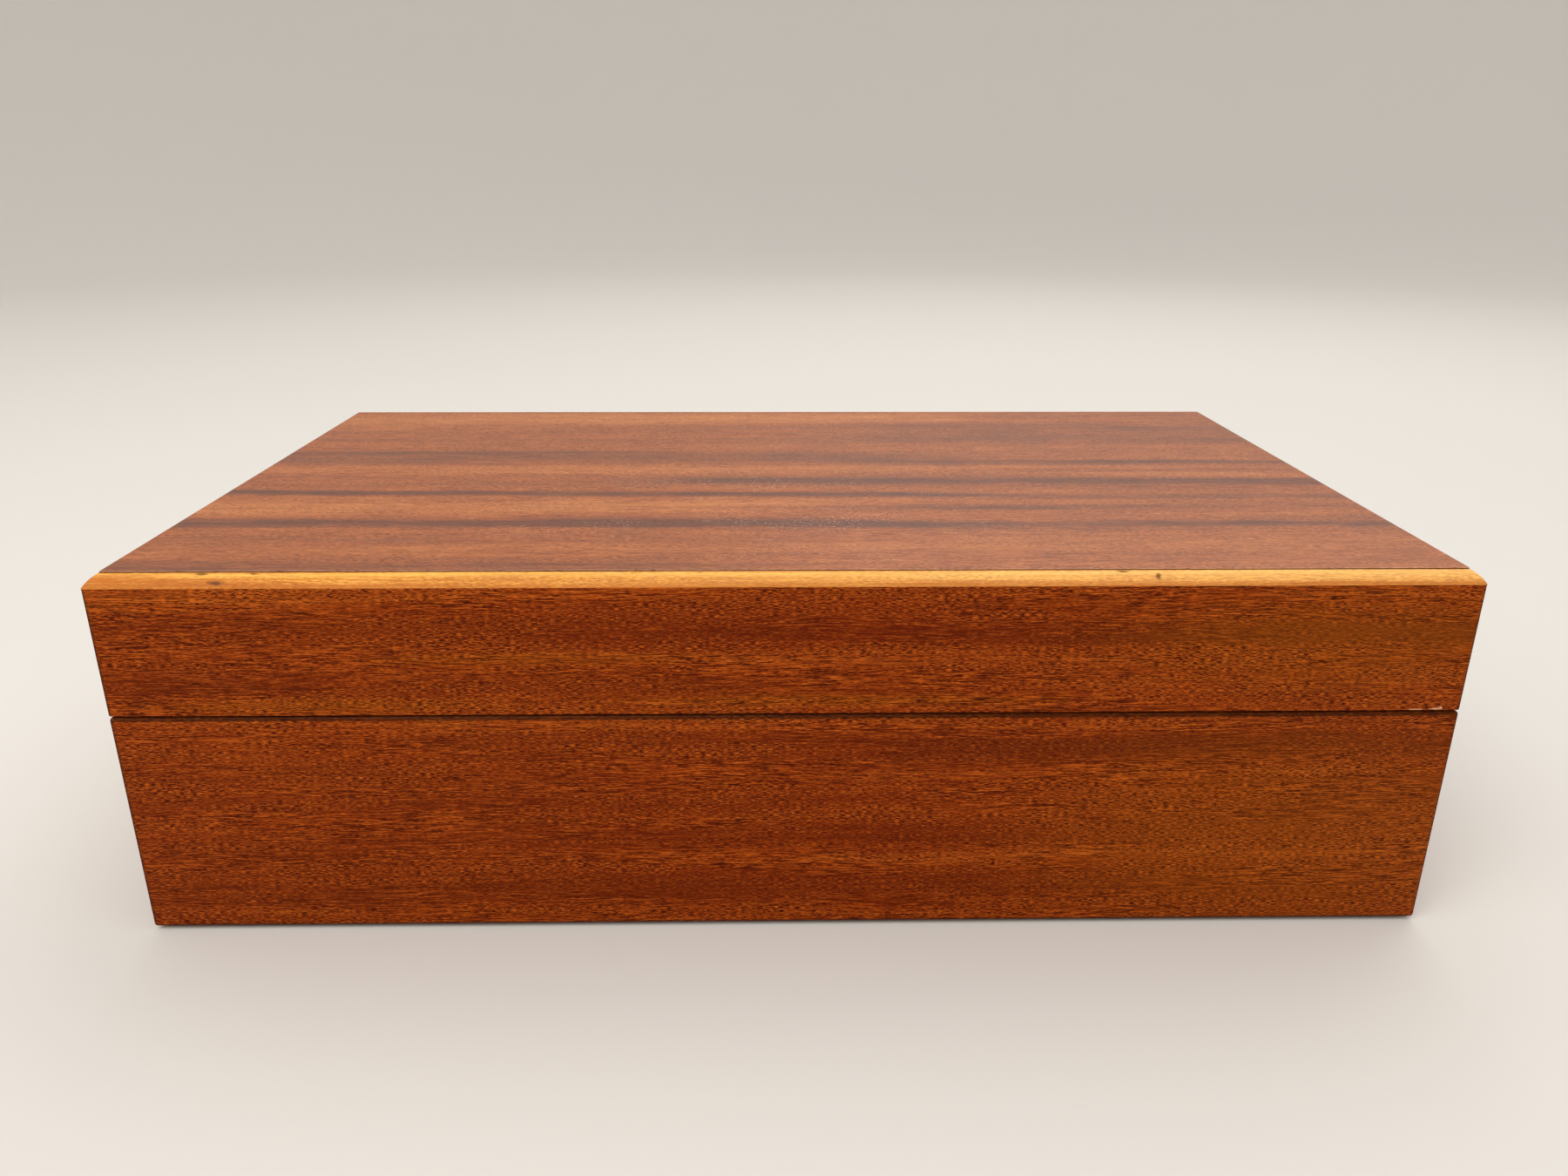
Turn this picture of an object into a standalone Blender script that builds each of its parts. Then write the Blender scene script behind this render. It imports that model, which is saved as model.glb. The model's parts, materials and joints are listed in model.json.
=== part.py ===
"""A cigar humidor: a veneered box with a hinged lid, lined with Spanish cedar.

A humidifier and a dial hygrometer sit inside the lid, and a divider slides in the base.
All sizes are in metres. +X runs along the front, +Y to the back and +Z up. The origin is
the middle of the surface that the box stands on.
"""

from math import asin, cos, pi, radians, sin, sqrt, tan

import bmesh
import bpy
from mathutils import Matrix, Vector

# The box outside
BOX_WIDTH = 0.380
BOX_DEPTH = 0.220
BASE_HEIGHT = 0.0695
LID_HEIGHT = 0.0416
WALL = 0.010
CORNER_EASE = 0.0008
FOOT_CHAMFER = 0.0013
RIM_CHAMFER = 0.0010
LID_RIM_EASE = 0.0004

# Air between pieces: where they touch or are glued, and between the closed rims
SEAT_GAP = 0.0003
RIM_GAP = 0.0004

# The bottom, let into the walls, and the pad under it
BOTTOM_LAND = 0.005
BOTTOM_THICKNESS = 0.006
PAD_THICKNESS = 0.0007
PAD_INSET = 0.003
PAD_CORNER = 0.004

# The top: a panel let into the walls, a veneer sheet on it and a lipping round the edge
TOP_LAND = 0.007
PANEL_THICKNESS = 0.006
VENEER_THICKNESS = 0.0006
LIPPING_WIDTH = 0.0037
LIPPING_DROP = 0.0041
LIPPING_STEP = 0.0006
LIPPING_FOOT = 0.0002
LIPPING_BULGE = 0.00035
LIPPING_FACETS = 6

# Spanish cedar: the base's liners stand up past the rim as a lip
LINER = 0.0045
LIP_RISE = 0.006
LIP_LEAD = 0.0008
LIP_HEADROOM = 0.0008
FLOOR_THICKNESS = 0.004
CEILING_THICKNESS = 0.0035

# The divider
DIVIDER_THICKNESS = 0.006
DIVIDER_HEIGHT = 0.050
DIVIDER_PLACE = 0.040
DIVIDER_SIDE_GAP = 0.0005
DIVIDER_EASE = 0.001

# Butt hinges, whose axis lies inside the back face. The edges behind it are bevelled, and
# the bevels meet when the lid is open.
AXIS_INSET = 0.0028
OPEN_ANGLE = radians(95)
HINGE_FROM_END = 0.075
HINGE_LENGTH = 0.034
KNUCKLES = 3
KNUCKLE_RADIUS = 0.0022
PIN_RADIUS = 0.0010
LEAF_THICKNESS = 0.0015
KNUCKLE_FACETS = 20

# Countersunk screws
SCREW_SPACING = 0.020
SCREW_LENGTH = 0.009
SCREW_SHANK_RADIUS = 0.0008
SCREW_HEAD_RADIUS = 0.0017
SCREW_HEAD_HEIGHT = 0.0009
SCREW_POINT = 0.002
SLOT_WIDTH = 0.0005
SLOT_DEPTH = 0.0004
SCREW_FACETS = 12

# The humidifier
HUMIDIFIER_LENGTH = 0.110
HUMIDIFIER_WIDTH = 0.050
HUMIDIFIER_HEIGHT = 0.014
HUMIDIFIER_CORNER = 0.006
HUMIDIFIER_WALL = 0.0015
HUMIDIFIER_BACK = 0.0036
HUMIDIFIER_PLACE = -0.050
KEEPER_LENGTH = 0.090
KEEPER_WIDTH = 0.020
KEEPER_THICKNESS = 0.0008
MAGNET_RADIUS = 0.005
MAGNET_THICKNESS = 0.002
MAGNET_SPACING = 0.066
GRILLE_THICKNESS = 0.002
GRILLE_SLOTS = 13
GRILLE_SLOT_WIDTH = 0.0024
GRILLE_SLOT_LENGTH = 0.034
GRILLE_SLOT_PITCH = 0.0074

# The hygrometer
DIAL_PLACE = 0.070
CASE_RADIUS = 0.018
CASE_DEPTH = 0.012
CASE_WALL = 0.0008
CASE_BACK = 0.001
CASE_STEP = 0.001
GLASS_THICKNESS = 0.0012
SPACER_HEIGHT = 0.003
SPACER_WALL = 0.001
DIAL_THICKNESS = 0.0006
BEZEL_FLANGE = 0.0012
BEZEL_LIP = 0.0014
BEZEL_SKIRT_WALL = 0.0017
BEZEL_SKIRT_HEIGHT = 0.004
BEZEL_ROUND = 0.0008
SPINDLE_RADIUS = 0.0005
SPINDLE_END = 0.0006
NEEDLE_LENGTH = 0.0125
NEEDLE_TAIL = 0.0045
NEEDLE_HALF_WIDTH = 0.0006
NEEDLE_THICKNESS = 0.0004
NEEDLE_RISE = 0.0011
HUB_RADIUS = 0.0016
NEEDLE_TURN = radians(48)
COIL_TURNS = 3.5
COIL_PITCH = 0.0018
COIL_STRIP = 0.0003
COIL_HEIGHT = 0.0018
COIL_FACETS = 16
POST_RADIUS = 0.0008
ROUND_FACETS = 40

# How far a cutter runs past what it cuts, and the distance within which points are one
OVERRUN = 0.004
WELD = 0.00001

# Levels
BASE_UNDERSIDE = PAD_THICKNESS + SEAT_GAP
BASE_RIM = BASE_UNDERSIDE + BASE_HEIGHT
LID_RIM = BASE_RIM + RIM_GAP
LID_WALL_TOP = LID_RIM + LID_HEIGHT - VENEER_THICKNESS - SEAT_GAP
PANEL_UNDERSIDE = LID_WALL_TOP - PANEL_THICKNESS
CEILING_TOP = PANEL_UNDERSIDE - SEAT_GAP
CEILING_UNDERSIDE = CEILING_TOP - CEILING_THICKNESS
FLOOR_UNDERSIDE = BASE_UNDERSIDE + BOTTOM_THICKNESS + SEAT_GAP
FLOOR_TOP = FLOOR_UNDERSIDE + FLOOR_THICKNESS
LIP_TOP = BASE_RIM + LIP_RISE

# Places worked out from the sizes above
AXIS_Y = BOX_DEPTH / 2 - AXIS_INSET
AXIS_Z = BASE_RIM + RIM_GAP / 2
LINED_INSET = WALL + SEAT_GAP
LEAF_REACH = WALL - AXIS_INSET - SEAT_GAP
SCREW_REACH = (KNUCKLE_RADIUS + LEAF_REACH) / 2

# Each finish: colour, roughness, metallic
FINISHES = {
    "mahogany_veneer": ((0.27, 0.075, 0.022), 0.34, 0),
    "lipping": ((0.62, 0.36, 0.13), 0.40, 0),
    "spanish_cedar": ((0.46, 0.22, 0.11), 0.70, 0),
    "panel_core": ((0.42, 0.27, 0.15), 0.80, 0),
    "baize": ((0.03, 0.06, 0.03), 0.95, 0),
    "brass": ((0.78, 0.54, 0.20), 0.28, 1),
    "steel": ((0.55, 0.55, 0.56), 0.35, 1),
    "black_plastic": ((0.015, 0.015, 0.016), 0.45, 0),
    "foam": ((0.06, 0.13, 0.06), 0.95, 0),
    "dial_card": ((0.80, 0.77, 0.68), 0.60, 0),
    "black_enamel": ((0.01, 0.01, 0.012), 0.35, 0),
    "glass": ((0.90, 0.93, 0.93), 0.05, 0),
}


# Shapes

def outline_face(shape, points):
    """A flat face through points."""
    return shape.faces.new([shape.verts.new(point) for point in points])


def drawn(points, travel):
    """A solid made by drawing the outline through points along a straight travel."""
    shape = bmesh.new()
    face = outline_face(shape, points)
    grown = bmesh.ops.extrude_face_region(shape, geom=[face])["geom"]
    ends = [part for part in grown if isinstance(part, bmesh.types.BMVert)]
    bmesh.ops.translate(shape, verts=ends, vec=travel)
    bmesh.ops.recalc_face_normals(shape, faces=shape.faces)
    return shape


def stick(outline, length):
    """A moulding along X, centred, from a section of (y, z) points."""
    return drawn([(-length / 2, y, z) for y, z in outline], (length, 0, 0))


def saw(shape, point, normal):
    """Cuts off what lies beyond a plane and closes the cut."""
    parts = shape.verts[:] + shape.edges[:] + shape.faces[:]
    cut = bmesh.ops.bisect_plane(
        shape, geom=parts, plane_co=point, plane_no=normal, clear_outer=True
    )["geom_cut"]
    rim = [part for part in cut if isinstance(part, bmesh.types.BMEdge)]
    bmesh.ops.holes_fill(shape, edges=rim)
    bmesh.ops.recalc_face_normals(shape, faces=shape.faces)


def slab(width, depth, height, corner=0, facets=4):
    """A block standing on its origin, its upright edges rounded by corner."""
    shape = bmesh.new()
    bmesh.ops.create_cube(shape, size=1)
    bmesh.ops.scale(shape, vec=(width, depth, height), verts=shape.verts)
    bmesh.ops.translate(shape, vec=(0, 0, height / 2), verts=shape.verts)
    if corner:
        upright = [
            edge
            for edge in shape.edges
            if edge.verts[0].co.xy == edge.verts[1].co.xy
        ]
        bmesh.ops.bevel(
            shape, geom=upright, offset=corner, segments=facets, profile=0.5, affect="EDGES"
        )
    return shape


def turned(outline, facets=ROUND_FACETS):
    """A lathe-turned solid from (radius, z) points, open at the axis or a closed ring."""
    shape = bmesh.new()
    points = [shape.verts.new((radius, 0, z)) for radius, z in outline]
    edges = [shape.edges.new(pair) for pair in zip(points, points[1:])]
    if outline[0][0]:
        edges.append(shape.edges.new((points[-1], points[0])))
    bmesh.ops.spin(
        shape,
        geom=points + edges,
        axis=(0, 0, 1),
        cent=(0, 0, 0),
        steps=facets,
        angle=2 * pi,
        use_merge=True,
    )
    bmesh.ops.remove_doubles(shape, verts=shape.verts, dist=WELD)
    bmesh.ops.recalc_face_normals(shape, faces=shape.faces)
    return shape


def disc(radius, height, facets=ROUND_FACETS):
    """A round plate or rod standing on its origin."""
    return turned([(0, 0), (radius, 0), (radius, height), (0, height)], facets)


def washer(hole, radius, height, facets=ROUND_FACETS):
    """A round plate with a hole through it, standing on its origin."""
    return turned([(hole, 0), (radius, 0), (radius, height), (hole, height)], facets)


def arc(radius, start, end, facets):
    """Points on a circle about the origin."""
    turns = [start + (end - start) * step / facets for step in range(facets + 1)]
    return [(radius * cos(turn), radius * sin(turn)) for turn in turns]


def moved(shape, place=(0, 0, 0), turn=None):
    """The same shape, turned about the origin and moved."""
    if turn:
        bmesh.ops.transform(shape, matrix=turn, verts=shape.verts)
    bmesh.ops.translate(shape, vec=place, verts=shape.verts)
    return shape


def joined(shapes):
    """Several shapes that don't touch, as one cutter's shape."""
    whole = bmesh.new()
    for shape in shapes:
        mesh = bpy.data.meshes.new("part")
        shape.to_mesh(mesh)
        shape.free()
        whole.from_mesh(mesh)
        bpy.data.meshes.remove(mesh)
    return whole


# Objects

def clear_scene():
    for thing in list(bpy.data.objects):
        bpy.data.objects.remove(thing, do_unlink=True)


def make_finishes():
    for name, (colour, roughness, metallic) in FINISHES.items():
        material = bpy.data.materials.new(name)
        material.use_nodes = True
        shader = material.node_tree.nodes["Principled BSDF"]
        shader.inputs["Base Color"].default_value = (*colour, 1)
        shader.inputs["Roughness"].default_value = roughness
        shader.inputs["Metallic"].default_value = metallic


def mesh_of(name, shape):
    mesh = bpy.data.meshes.new(name)
    shape.to_mesh(mesh)
    shape.free()
    return mesh


def spot_of(carrier):
    """Where an empty is in the part's frame. No empty is turned."""
    spot = Vector()
    while carrier:
        spot += carrier.location
        carrier = carrier.parent
    return spot


def put(thing, place, carrier, turn=(0, 0, 0)):
    """Places an object by its spot in the part's frame, carried by an empty."""
    bpy.context.scene.collection.objects.link(thing)
    thing.parent = carrier
    thing.location = Vector(place) - spot_of(carrier)
    thing.rotation_euler = turn
    return thing


def empty(name, place, carrier=None):
    return put(bpy.data.objects.new(name, None), place, carrier)


def piece(name, mesh, finish, place, carrier, turn=(0, 0, 0), smooth=False):
    """One solid piece. mesh is a mesh, or a shape that becomes one."""
    if not isinstance(mesh, bpy.types.Mesh):
        mesh = mesh_of(name, mesh)
    if not mesh.materials:
        mesh.materials.append(bpy.data.materials[finish])
    if smooth:
        mesh.shade_smooth()
        mesh.set_sharp_from_angle(angle=radians(35))
    return put(bpy.data.objects.new(name, mesh), place, carrier, turn)


def cutter(name, shape, place, carrier=None, turn=(0, 0, 0)):
    tool = put(bpy.data.objects.new(name, mesh_of(name, shape)), place, carrier, turn)
    tool.hide_render = True
    tool.display_type = "WIRE"
    return tool


def cut(thing, *tools, operation="DIFFERENCE"):
    for tool in tools:
        step = thing.modifiers.new(tool.name, "BOOLEAN")
        step.operation = operation
        step.solver = "EXACT"
        step.object = tool


# Frames of four mitred sticks

def mitred(outline, length, ease):
    """A stick with both ends mitred, its outer corners taken off by ease."""
    strip = stick(outline, length)
    for end in (-1, 1):
        mitre = end * (length / 2 - SEAT_GAP / sqrt(2))
        saw(strip, (mitre, 0, 0), (end, 1, 0))
        if ease:
            saw(strip, (end * (length / 2 - ease), 0, 0), (end, -1, 0))
    return strip


def four_sides(stem, outline, finish, level, carrier, ease=0, smooth=False):
    """A mitred frame as wide and deep as the box. Its section is (inset, height) points."""
    sides = {}
    for side, turn, length, across in (
        ("front", 0, BOX_WIDTH, BOX_DEPTH),
        ("right", pi / 2, BOX_DEPTH, BOX_WIDTH),
        ("back", pi, BOX_WIDTH, BOX_DEPTH),
        ("left", -pi / 2, BOX_DEPTH, BOX_WIDTH),
    ):
        place = (across / 2 * sin(turn), -across / 2 * cos(turn), level)
        strip = mitred(outline, length, ease)
        sides[side] = piece(
            f"{stem}_{side}", strip, finish, place, carrier, (0, 0, turn), smooth
        )
    return sides


# The base

def base_walls(carrier):
    seat = BOTTOM_THICKNESS + SEAT_GAP
    outline = [
        (FOOT_CHAMFER, 0),
        (BOTTOM_LAND, 0),
        (BOTTOM_LAND, seat),
        (WALL, seat),
        (WALL, BASE_HEIGHT),
        (RIM_CHAMFER, BASE_HEIGHT),
        (0, BASE_HEIGHT - RIM_CHAMFER),
        (0, FOOT_CHAMFER),
    ]
    return four_sides("base", outline, "mahogany_veneer", BASE_UNDERSIDE, carrier, CORNER_EASE)


def base_bottom(carrier):
    inset = BOTTOM_LAND + SEAT_GAP
    board = slab(BOX_WIDTH - 2 * inset, BOX_DEPTH - 2 * inset, BOTTOM_THICKNESS)
    piece("base_bottom", board, "panel_core", (0, 0, BASE_UNDERSIDE), carrier)


def base_pad(carrier):
    pad = slab(
        BOX_WIDTH - 2 * PAD_INSET, BOX_DEPTH - 2 * PAD_INSET, PAD_THICKNESS, PAD_CORNER
    )
    piece("base_pad", pad, "baize", (0, 0, 0), carrier)


def base_cedar(carrier):
    floor = slab(
        BOX_WIDTH - 2 * LINED_INSET, BOX_DEPTH - 2 * LINED_INSET, FLOOR_THICKNESS
    )
    piece("base_floor", floor, "spanish_cedar", (0, 0, FLOOR_UNDERSIDE), carrier)
    foot = FLOOR_TOP + SEAT_GAP
    height = LIP_TOP - foot
    outline = [
        (LINED_INSET, 0),
        (LINED_INSET + LINER, 0),
        (LINED_INSET + LINER, height),
        (LINED_INSET + LIP_LEAD, height),
        (LINED_INSET, height - LIP_LEAD),
    ]
    four_sides("base_liner", outline, "spanish_cedar", foot, carrier)


# The lid

def lid_walls(carrier):
    top = LID_WALL_TOP - LID_RIM
    seat = top - PANEL_THICKNESS - SEAT_GAP
    ledge = LID_HEIGHT - LIPPING_DROP
    outline = [
        (LID_RIM_EASE, 0),
        (WALL, 0),
        (WALL, seat),
        (TOP_LAND, seat),
        (TOP_LAND, top),
        (LIPPING_WIDTH, top),
        (LIPPING_WIDTH, ledge),
        (0, ledge),
        (0, LID_RIM_EASE),
    ]
    return four_sides("lid", outline, "mahogany_veneer", LID_RIM, carrier, CORNER_EASE)


def lid_panel(carrier):
    inset = TOP_LAND + SEAT_GAP
    board = slab(BOX_WIDTH - 2 * inset, BOX_DEPTH - 2 * inset, PANEL_THICKNESS)
    piece("lid_panel", board, "panel_core", (0, 0, PANEL_UNDERSIDE), carrier)


def lid_veneer(carrier):
    sheet = slab(
        BOX_WIDTH - 2 * LIPPING_WIDTH, BOX_DEPTH - 2 * LIPPING_WIDTH, VENEER_THICKNESS
    )
    place = (0, 0, LID_WALL_TOP + SEAT_GAP)
    piece("lid_veneer", sheet, "mahogany_veneer", place, carrier)


def lipping(carrier):
    """Rounded strips: the curve bulges a little from the line between its two ends."""
    inner = LIPPING_WIDTH - SEAT_GAP
    bottom = LID_HEIGHT - LIPPING_DROP + SEAT_GAP
    low = Vector((LIPPING_STEP, bottom + LIPPING_FOOT))
    high = Vector((inner, LID_WALL_TOP - LID_RIM))
    chord = high - low
    outward = Vector((-chord.y, chord.x)).normalized()
    curve = []
    for step in range(LIPPING_FACETS + 1):
        along = step / LIPPING_FACETS
        rise = 1 - (2 * along - 1) ** 2
        curve.append(low + chord * along + outward * LIPPING_BULGE * rise)
    outline = [(inner, bottom), *reversed([tuple(point) for point in curve])]
    outline.append((LIPPING_STEP, bottom))
    four_sides("lipping", outline, "lipping", LID_RIM, carrier, smooth=True)


def lid_cedar(carrier):
    board = slab(
        BOX_WIDTH - 2 * LINED_INSET, BOX_DEPTH - 2 * LINED_INSET, CEILING_THICKNESS
    )
    ceiling = piece(
        "lid_ceiling", board, "spanish_cedar", (0, 0, CEILING_UNDERSIDE), carrier
    )
    foot = LIP_TOP + LIP_HEADROOM
    height = CEILING_UNDERSIDE - SEAT_GAP - foot
    outline = [
        (LINED_INSET, 0),
        (LINED_INSET + LINER, 0),
        (LINED_INSET + LINER, height),
        (LINED_INSET, height),
    ]
    four_sides("lid_liner", outline, "spanish_cedar", foot, carrier)
    return ceiling


# Hinges

def leaf_outline(reach, low, high, radius):
    """A flat plate running forward from a round knuckle about the axis."""
    start = pi + asin(-low / radius)
    end = 3 * pi + asin(-high / radius)
    return [(-reach, high), (-reach, low), *arc(radius, start, end, KNUCKLE_FACETS)]


def back_relief():
    """The air behind the hinge axis, which gives the lid its stop."""
    back = AXIS_INSET + OVERRUN
    rise = back * tan(OPEN_ANGLE / 2)
    wedge = stick([(0, 0), (back, -rise), (back, rise)], BOX_WIDTH + 2 * OVERRUN)
    return cutter("back_relief_cutter", wedge, (0, AXIS_Y, AXIS_Z))


def hinge_bed(name, place):
    half = RIM_GAP / 2 + LEAF_THICKNESS + SEAT_GAP
    radius = KNUCKLE_RADIUS + SEAT_GAP
    outline = leaf_outline(WALL - AXIS_INSET + OVERRUN, -half, half, radius)
    return cutter(name, stick(outline, HINGE_LENGTH + 2 * SEAT_GAP), place)


def knuckle_notch(start, end):
    """Room in one leaf for the other leaf's knuckle, from start to end along the pin."""
    front = KNUCKLE_RADIUS + SEAT_GAP
    back = KNUCKLE_RADIUS + OVERRUN
    width = end - start
    block = slab(width, front + back, 2 * back)
    return moved(block, ((start + end) / 2, (back - front) / 2, -back))


def hinge_leaf(name, place, notches, carrier, turn):
    low = -(RIM_GAP / 2 + LEAF_THICKNESS)
    plate = stick(
        leaf_outline(LEAF_REACH, low, -RIM_GAP / 2, KNUCKLE_RADIUS), HINGE_LENGTH
    )
    leaf = piece(name, plate, "brass", place, carrier, turn, smooth=True)
    cut(leaf, cutter(f"{name}_notch_cutter", joined(notches), place, carrier, turn))
    return leaf


def pin_shape(radius, length):
    rod = disc(radius, length, SCREW_FACETS)
    return moved(rod, (-length / 2, 0, 0), Matrix.Rotation(pi / 2, 4, "Y"))


def screw_outline(clearance, rise):
    """Half a countersunk screw's outline, its head flush with z = 0."""
    shank = SCREW_SHANK_RADIUS + clearance
    head = SCREW_HEAD_RADIUS + clearance
    return [
        (0, -SCREW_LENGTH - clearance),
        (shank, SCREW_POINT - SCREW_LENGTH - clearance),
        (shank, -SCREW_HEAD_HEIGHT),
        (head, 0),
        *([(head, rise)] if rise else []),
        (0, rise),
    ]


def screw_mesh():
    """One slotted screw's mesh, shared by all of them."""
    blank = cutter("screw_blank", turned(screw_outline(0, 0), SCREW_FACETS), (0, 0, 0))
    head_width = 2 * (SCREW_HEAD_RADIUS + SEAT_GAP)
    slot = moved(slab(head_width, SLOT_WIDTH, 2 * SLOT_DEPTH), (0, 0, -SLOT_DEPTH))
    cut(blank, cutter("screw_slot_cutter", slot, (0, 0, 0)))
    graph = bpy.context.evaluated_depsgraph_get()
    mesh = bpy.data.meshes.new_from_object(blank.evaluated_get(graph))
    for helper in ("screw_blank", "screw_slot_cutter"):
        bpy.data.objects.remove(bpy.data.objects[helper], do_unlink=True)
    return mesh


def hinge(side, x, boards, screw, base, lid):
    """Two leaves, a pin and four screws, with their beds cut into the two back boards."""
    place = (x, AXIS_Y, AXIS_Z)
    base_back, lid_back = boards
    bed = hinge_bed(f"hinge_{side}_bed_cutter", place)
    knuckle = HINGE_LENGTH / KNUCKLES
    play = SEAT_GAP / 2
    end = HINGE_LENGTH / 2 + OVERRUN
    inner = knuckle / 2
    middle_notch = [knuckle_notch(-inner - play, inner + play)]
    end_notches = [knuckle_notch(-end, -inner + play), knuckle_notch(inner - play, end)]
    bore = pin_shape(PIN_RADIUS + SEAT_GAP, HINGE_LENGTH + 2 * OVERRUN)
    bore = cutter(f"hinge_{side}_bore_cutter", bore, place)
    for kind, board, carrier, notches, up in (
        ("base", base_back, base, middle_notch, 1),
        ("lid", lid_back, lid, end_notches, -1),
    ):
        # The lid's leaf is the base's, turned over about the Y axis.
        turn = (0, 0, 0) if up > 0 else (0, pi, 0)
        leaf = hinge_leaf(f"hinge_{side}_{kind}_leaf", place, notches, carrier, turn)
        cut(leaf, bore)
        cut(board, bed)
        for number, offset in enumerate((-SCREW_SPACING / 2, SCREW_SPACING / 2), 1):
            spot = (x + offset, AXIS_Y - SCREW_REACH, AXIS_Z - up * RIM_GAP / 2)
            name = f"screw_{side}_{kind}_{number}"
            hole = turned(screw_outline(SEAT_GAP, OVERRUN), SCREW_FACETS)
            hole = cutter(f"{name}_cutter", hole, spot, carrier, turn)
            cut(leaf, hole)
            cut(board, hole)
            piece(name, screw, "brass", spot, carrier, turn, smooth=True)
    pin = pin_shape(PIN_RADIUS, HINGE_LENGTH)
    piece(f"hinge_{side}_pin", pin, "brass", place, base, smooth=True)


# The divider

def divider(carrier):
    length = BOX_DEPTH - 2 * (LINED_INSET + LINER + DIVIDER_SIDE_GAP)
    half = DIVIDER_THICKNESS / 2
    outline = [
        (-half, 0),
        (half, 0),
        (half, DIVIDER_HEIGHT - DIVIDER_EASE),
        (half - DIVIDER_EASE, DIVIDER_HEIGHT),
        (DIVIDER_EASE - half, DIVIDER_HEIGHT),
        (-half, DIVIDER_HEIGHT - DIVIDER_EASE),
    ]
    board = stick(outline, length)
    place = (DIVIDER_PLACE, 0, FLOOR_TOP + SEAT_GAP)
    slide = empty("divider_slide", place, carrier)
    piece("divider", board, "spanish_cedar", place, slide, (0, 0, pi / 2))


# The humidifier

def humidifier(carrier):
    keeper_top = CEILING_UNDERSIDE - SEAT_GAP
    keeper_low = keeper_top - KEEPER_THICKNESS
    keeper = slab(KEEPER_LENGTH, KEEPER_WIDTH, KEEPER_THICKNESS)
    place = (HUMIDIFIER_PLACE, 0, keeper_low)
    piece("humidifier_keeper", keeper, "steel", place, carrier)

    top = keeper_low - SEAT_GAP
    low = top - HUMIDIFIER_HEIGHT
    slide = empty("humidifier_slide", (HUMIDIFIER_PLACE, 0, low), carrier)
    shell = slab(
        HUMIDIFIER_LENGTH, HUMIDIFIER_WIDTH, HUMIDIFIER_HEIGHT, HUMIDIFIER_CORNER
    )
    place = (HUMIDIFIER_PLACE, 0, low)
    case = piece("humidifier_case", shell, "black_plastic", place, slide)

    room_length = HUMIDIFIER_LENGTH - 2 * HUMIDIFIER_WALL
    room_width = HUMIDIFIER_WIDTH - 2 * HUMIDIFIER_WALL
    room_corner = HUMIDIFIER_CORNER - HUMIDIFIER_WALL
    room_top = top - HUMIDIFIER_BACK
    room = slab(room_length, room_width, room_top - low + OVERRUN, room_corner)
    room_place = (HUMIDIFIER_PLACE, 0, low - OVERRUN)
    cut(case, cutter("humidifier_room_cutter", room, room_place, slide))

    fill_length = room_length - 2 * SEAT_GAP
    fill_width = room_width - 2 * SEAT_GAP
    fill_corner = room_corner - SEAT_GAP
    grille = slab(fill_length, fill_width, GRILLE_THICKNESS, fill_corner)
    grille = piece("humidifier_grille", grille, "black_plastic", place, slide)
    slots = []
    for number in range(GRILLE_SLOTS):
        spot = (number - (GRILLE_SLOTS - 1) / 2) * GRILLE_SLOT_PITCH
        slot = slab(GRILLE_SLOT_WIDTH, GRILLE_SLOT_LENGTH, GRILLE_THICKNESS + 2 * OVERRUN)
        slots.append(moved(slot, (spot, 0, -OVERRUN)))
    cut(grille, cutter("humidifier_slots_cutter", joined(slots), place, slide))

    foam_low = low + GRILLE_THICKNESS + SEAT_GAP
    foam_height = room_top - SEAT_GAP - foam_low
    foam = slab(fill_length, fill_width, foam_height, fill_corner)
    piece("humidifier_foam", foam, "foam", (HUMIDIFIER_PLACE, 0, foam_low), slide)

    pocket_radius = MAGNET_RADIUS + SEAT_GAP
    for side, x in (("left", -MAGNET_SPACING / 2), ("right", MAGNET_SPACING / 2)):
        spot = (HUMIDIFIER_PLACE + x, 0, top - MAGNET_THICKNESS)
        magnet = disc(MAGNET_RADIUS, MAGNET_THICKNESS)
        piece(f"humidifier_magnet_{side}", magnet, "steel", spot, slide, smooth=True)
        pocket = disc(pocket_radius, MAGNET_THICKNESS + SEAT_GAP + OVERRUN)
        spot = (HUMIDIFIER_PLACE + x, 0, top - MAGNET_THICKNESS - SEAT_GAP)
        cut(case, cutter(f"humidifier_pocket_{side}_cutter", pocket, spot, slide))


# The hygrometer: levels count up from the case's mouth, which faces down

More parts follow.
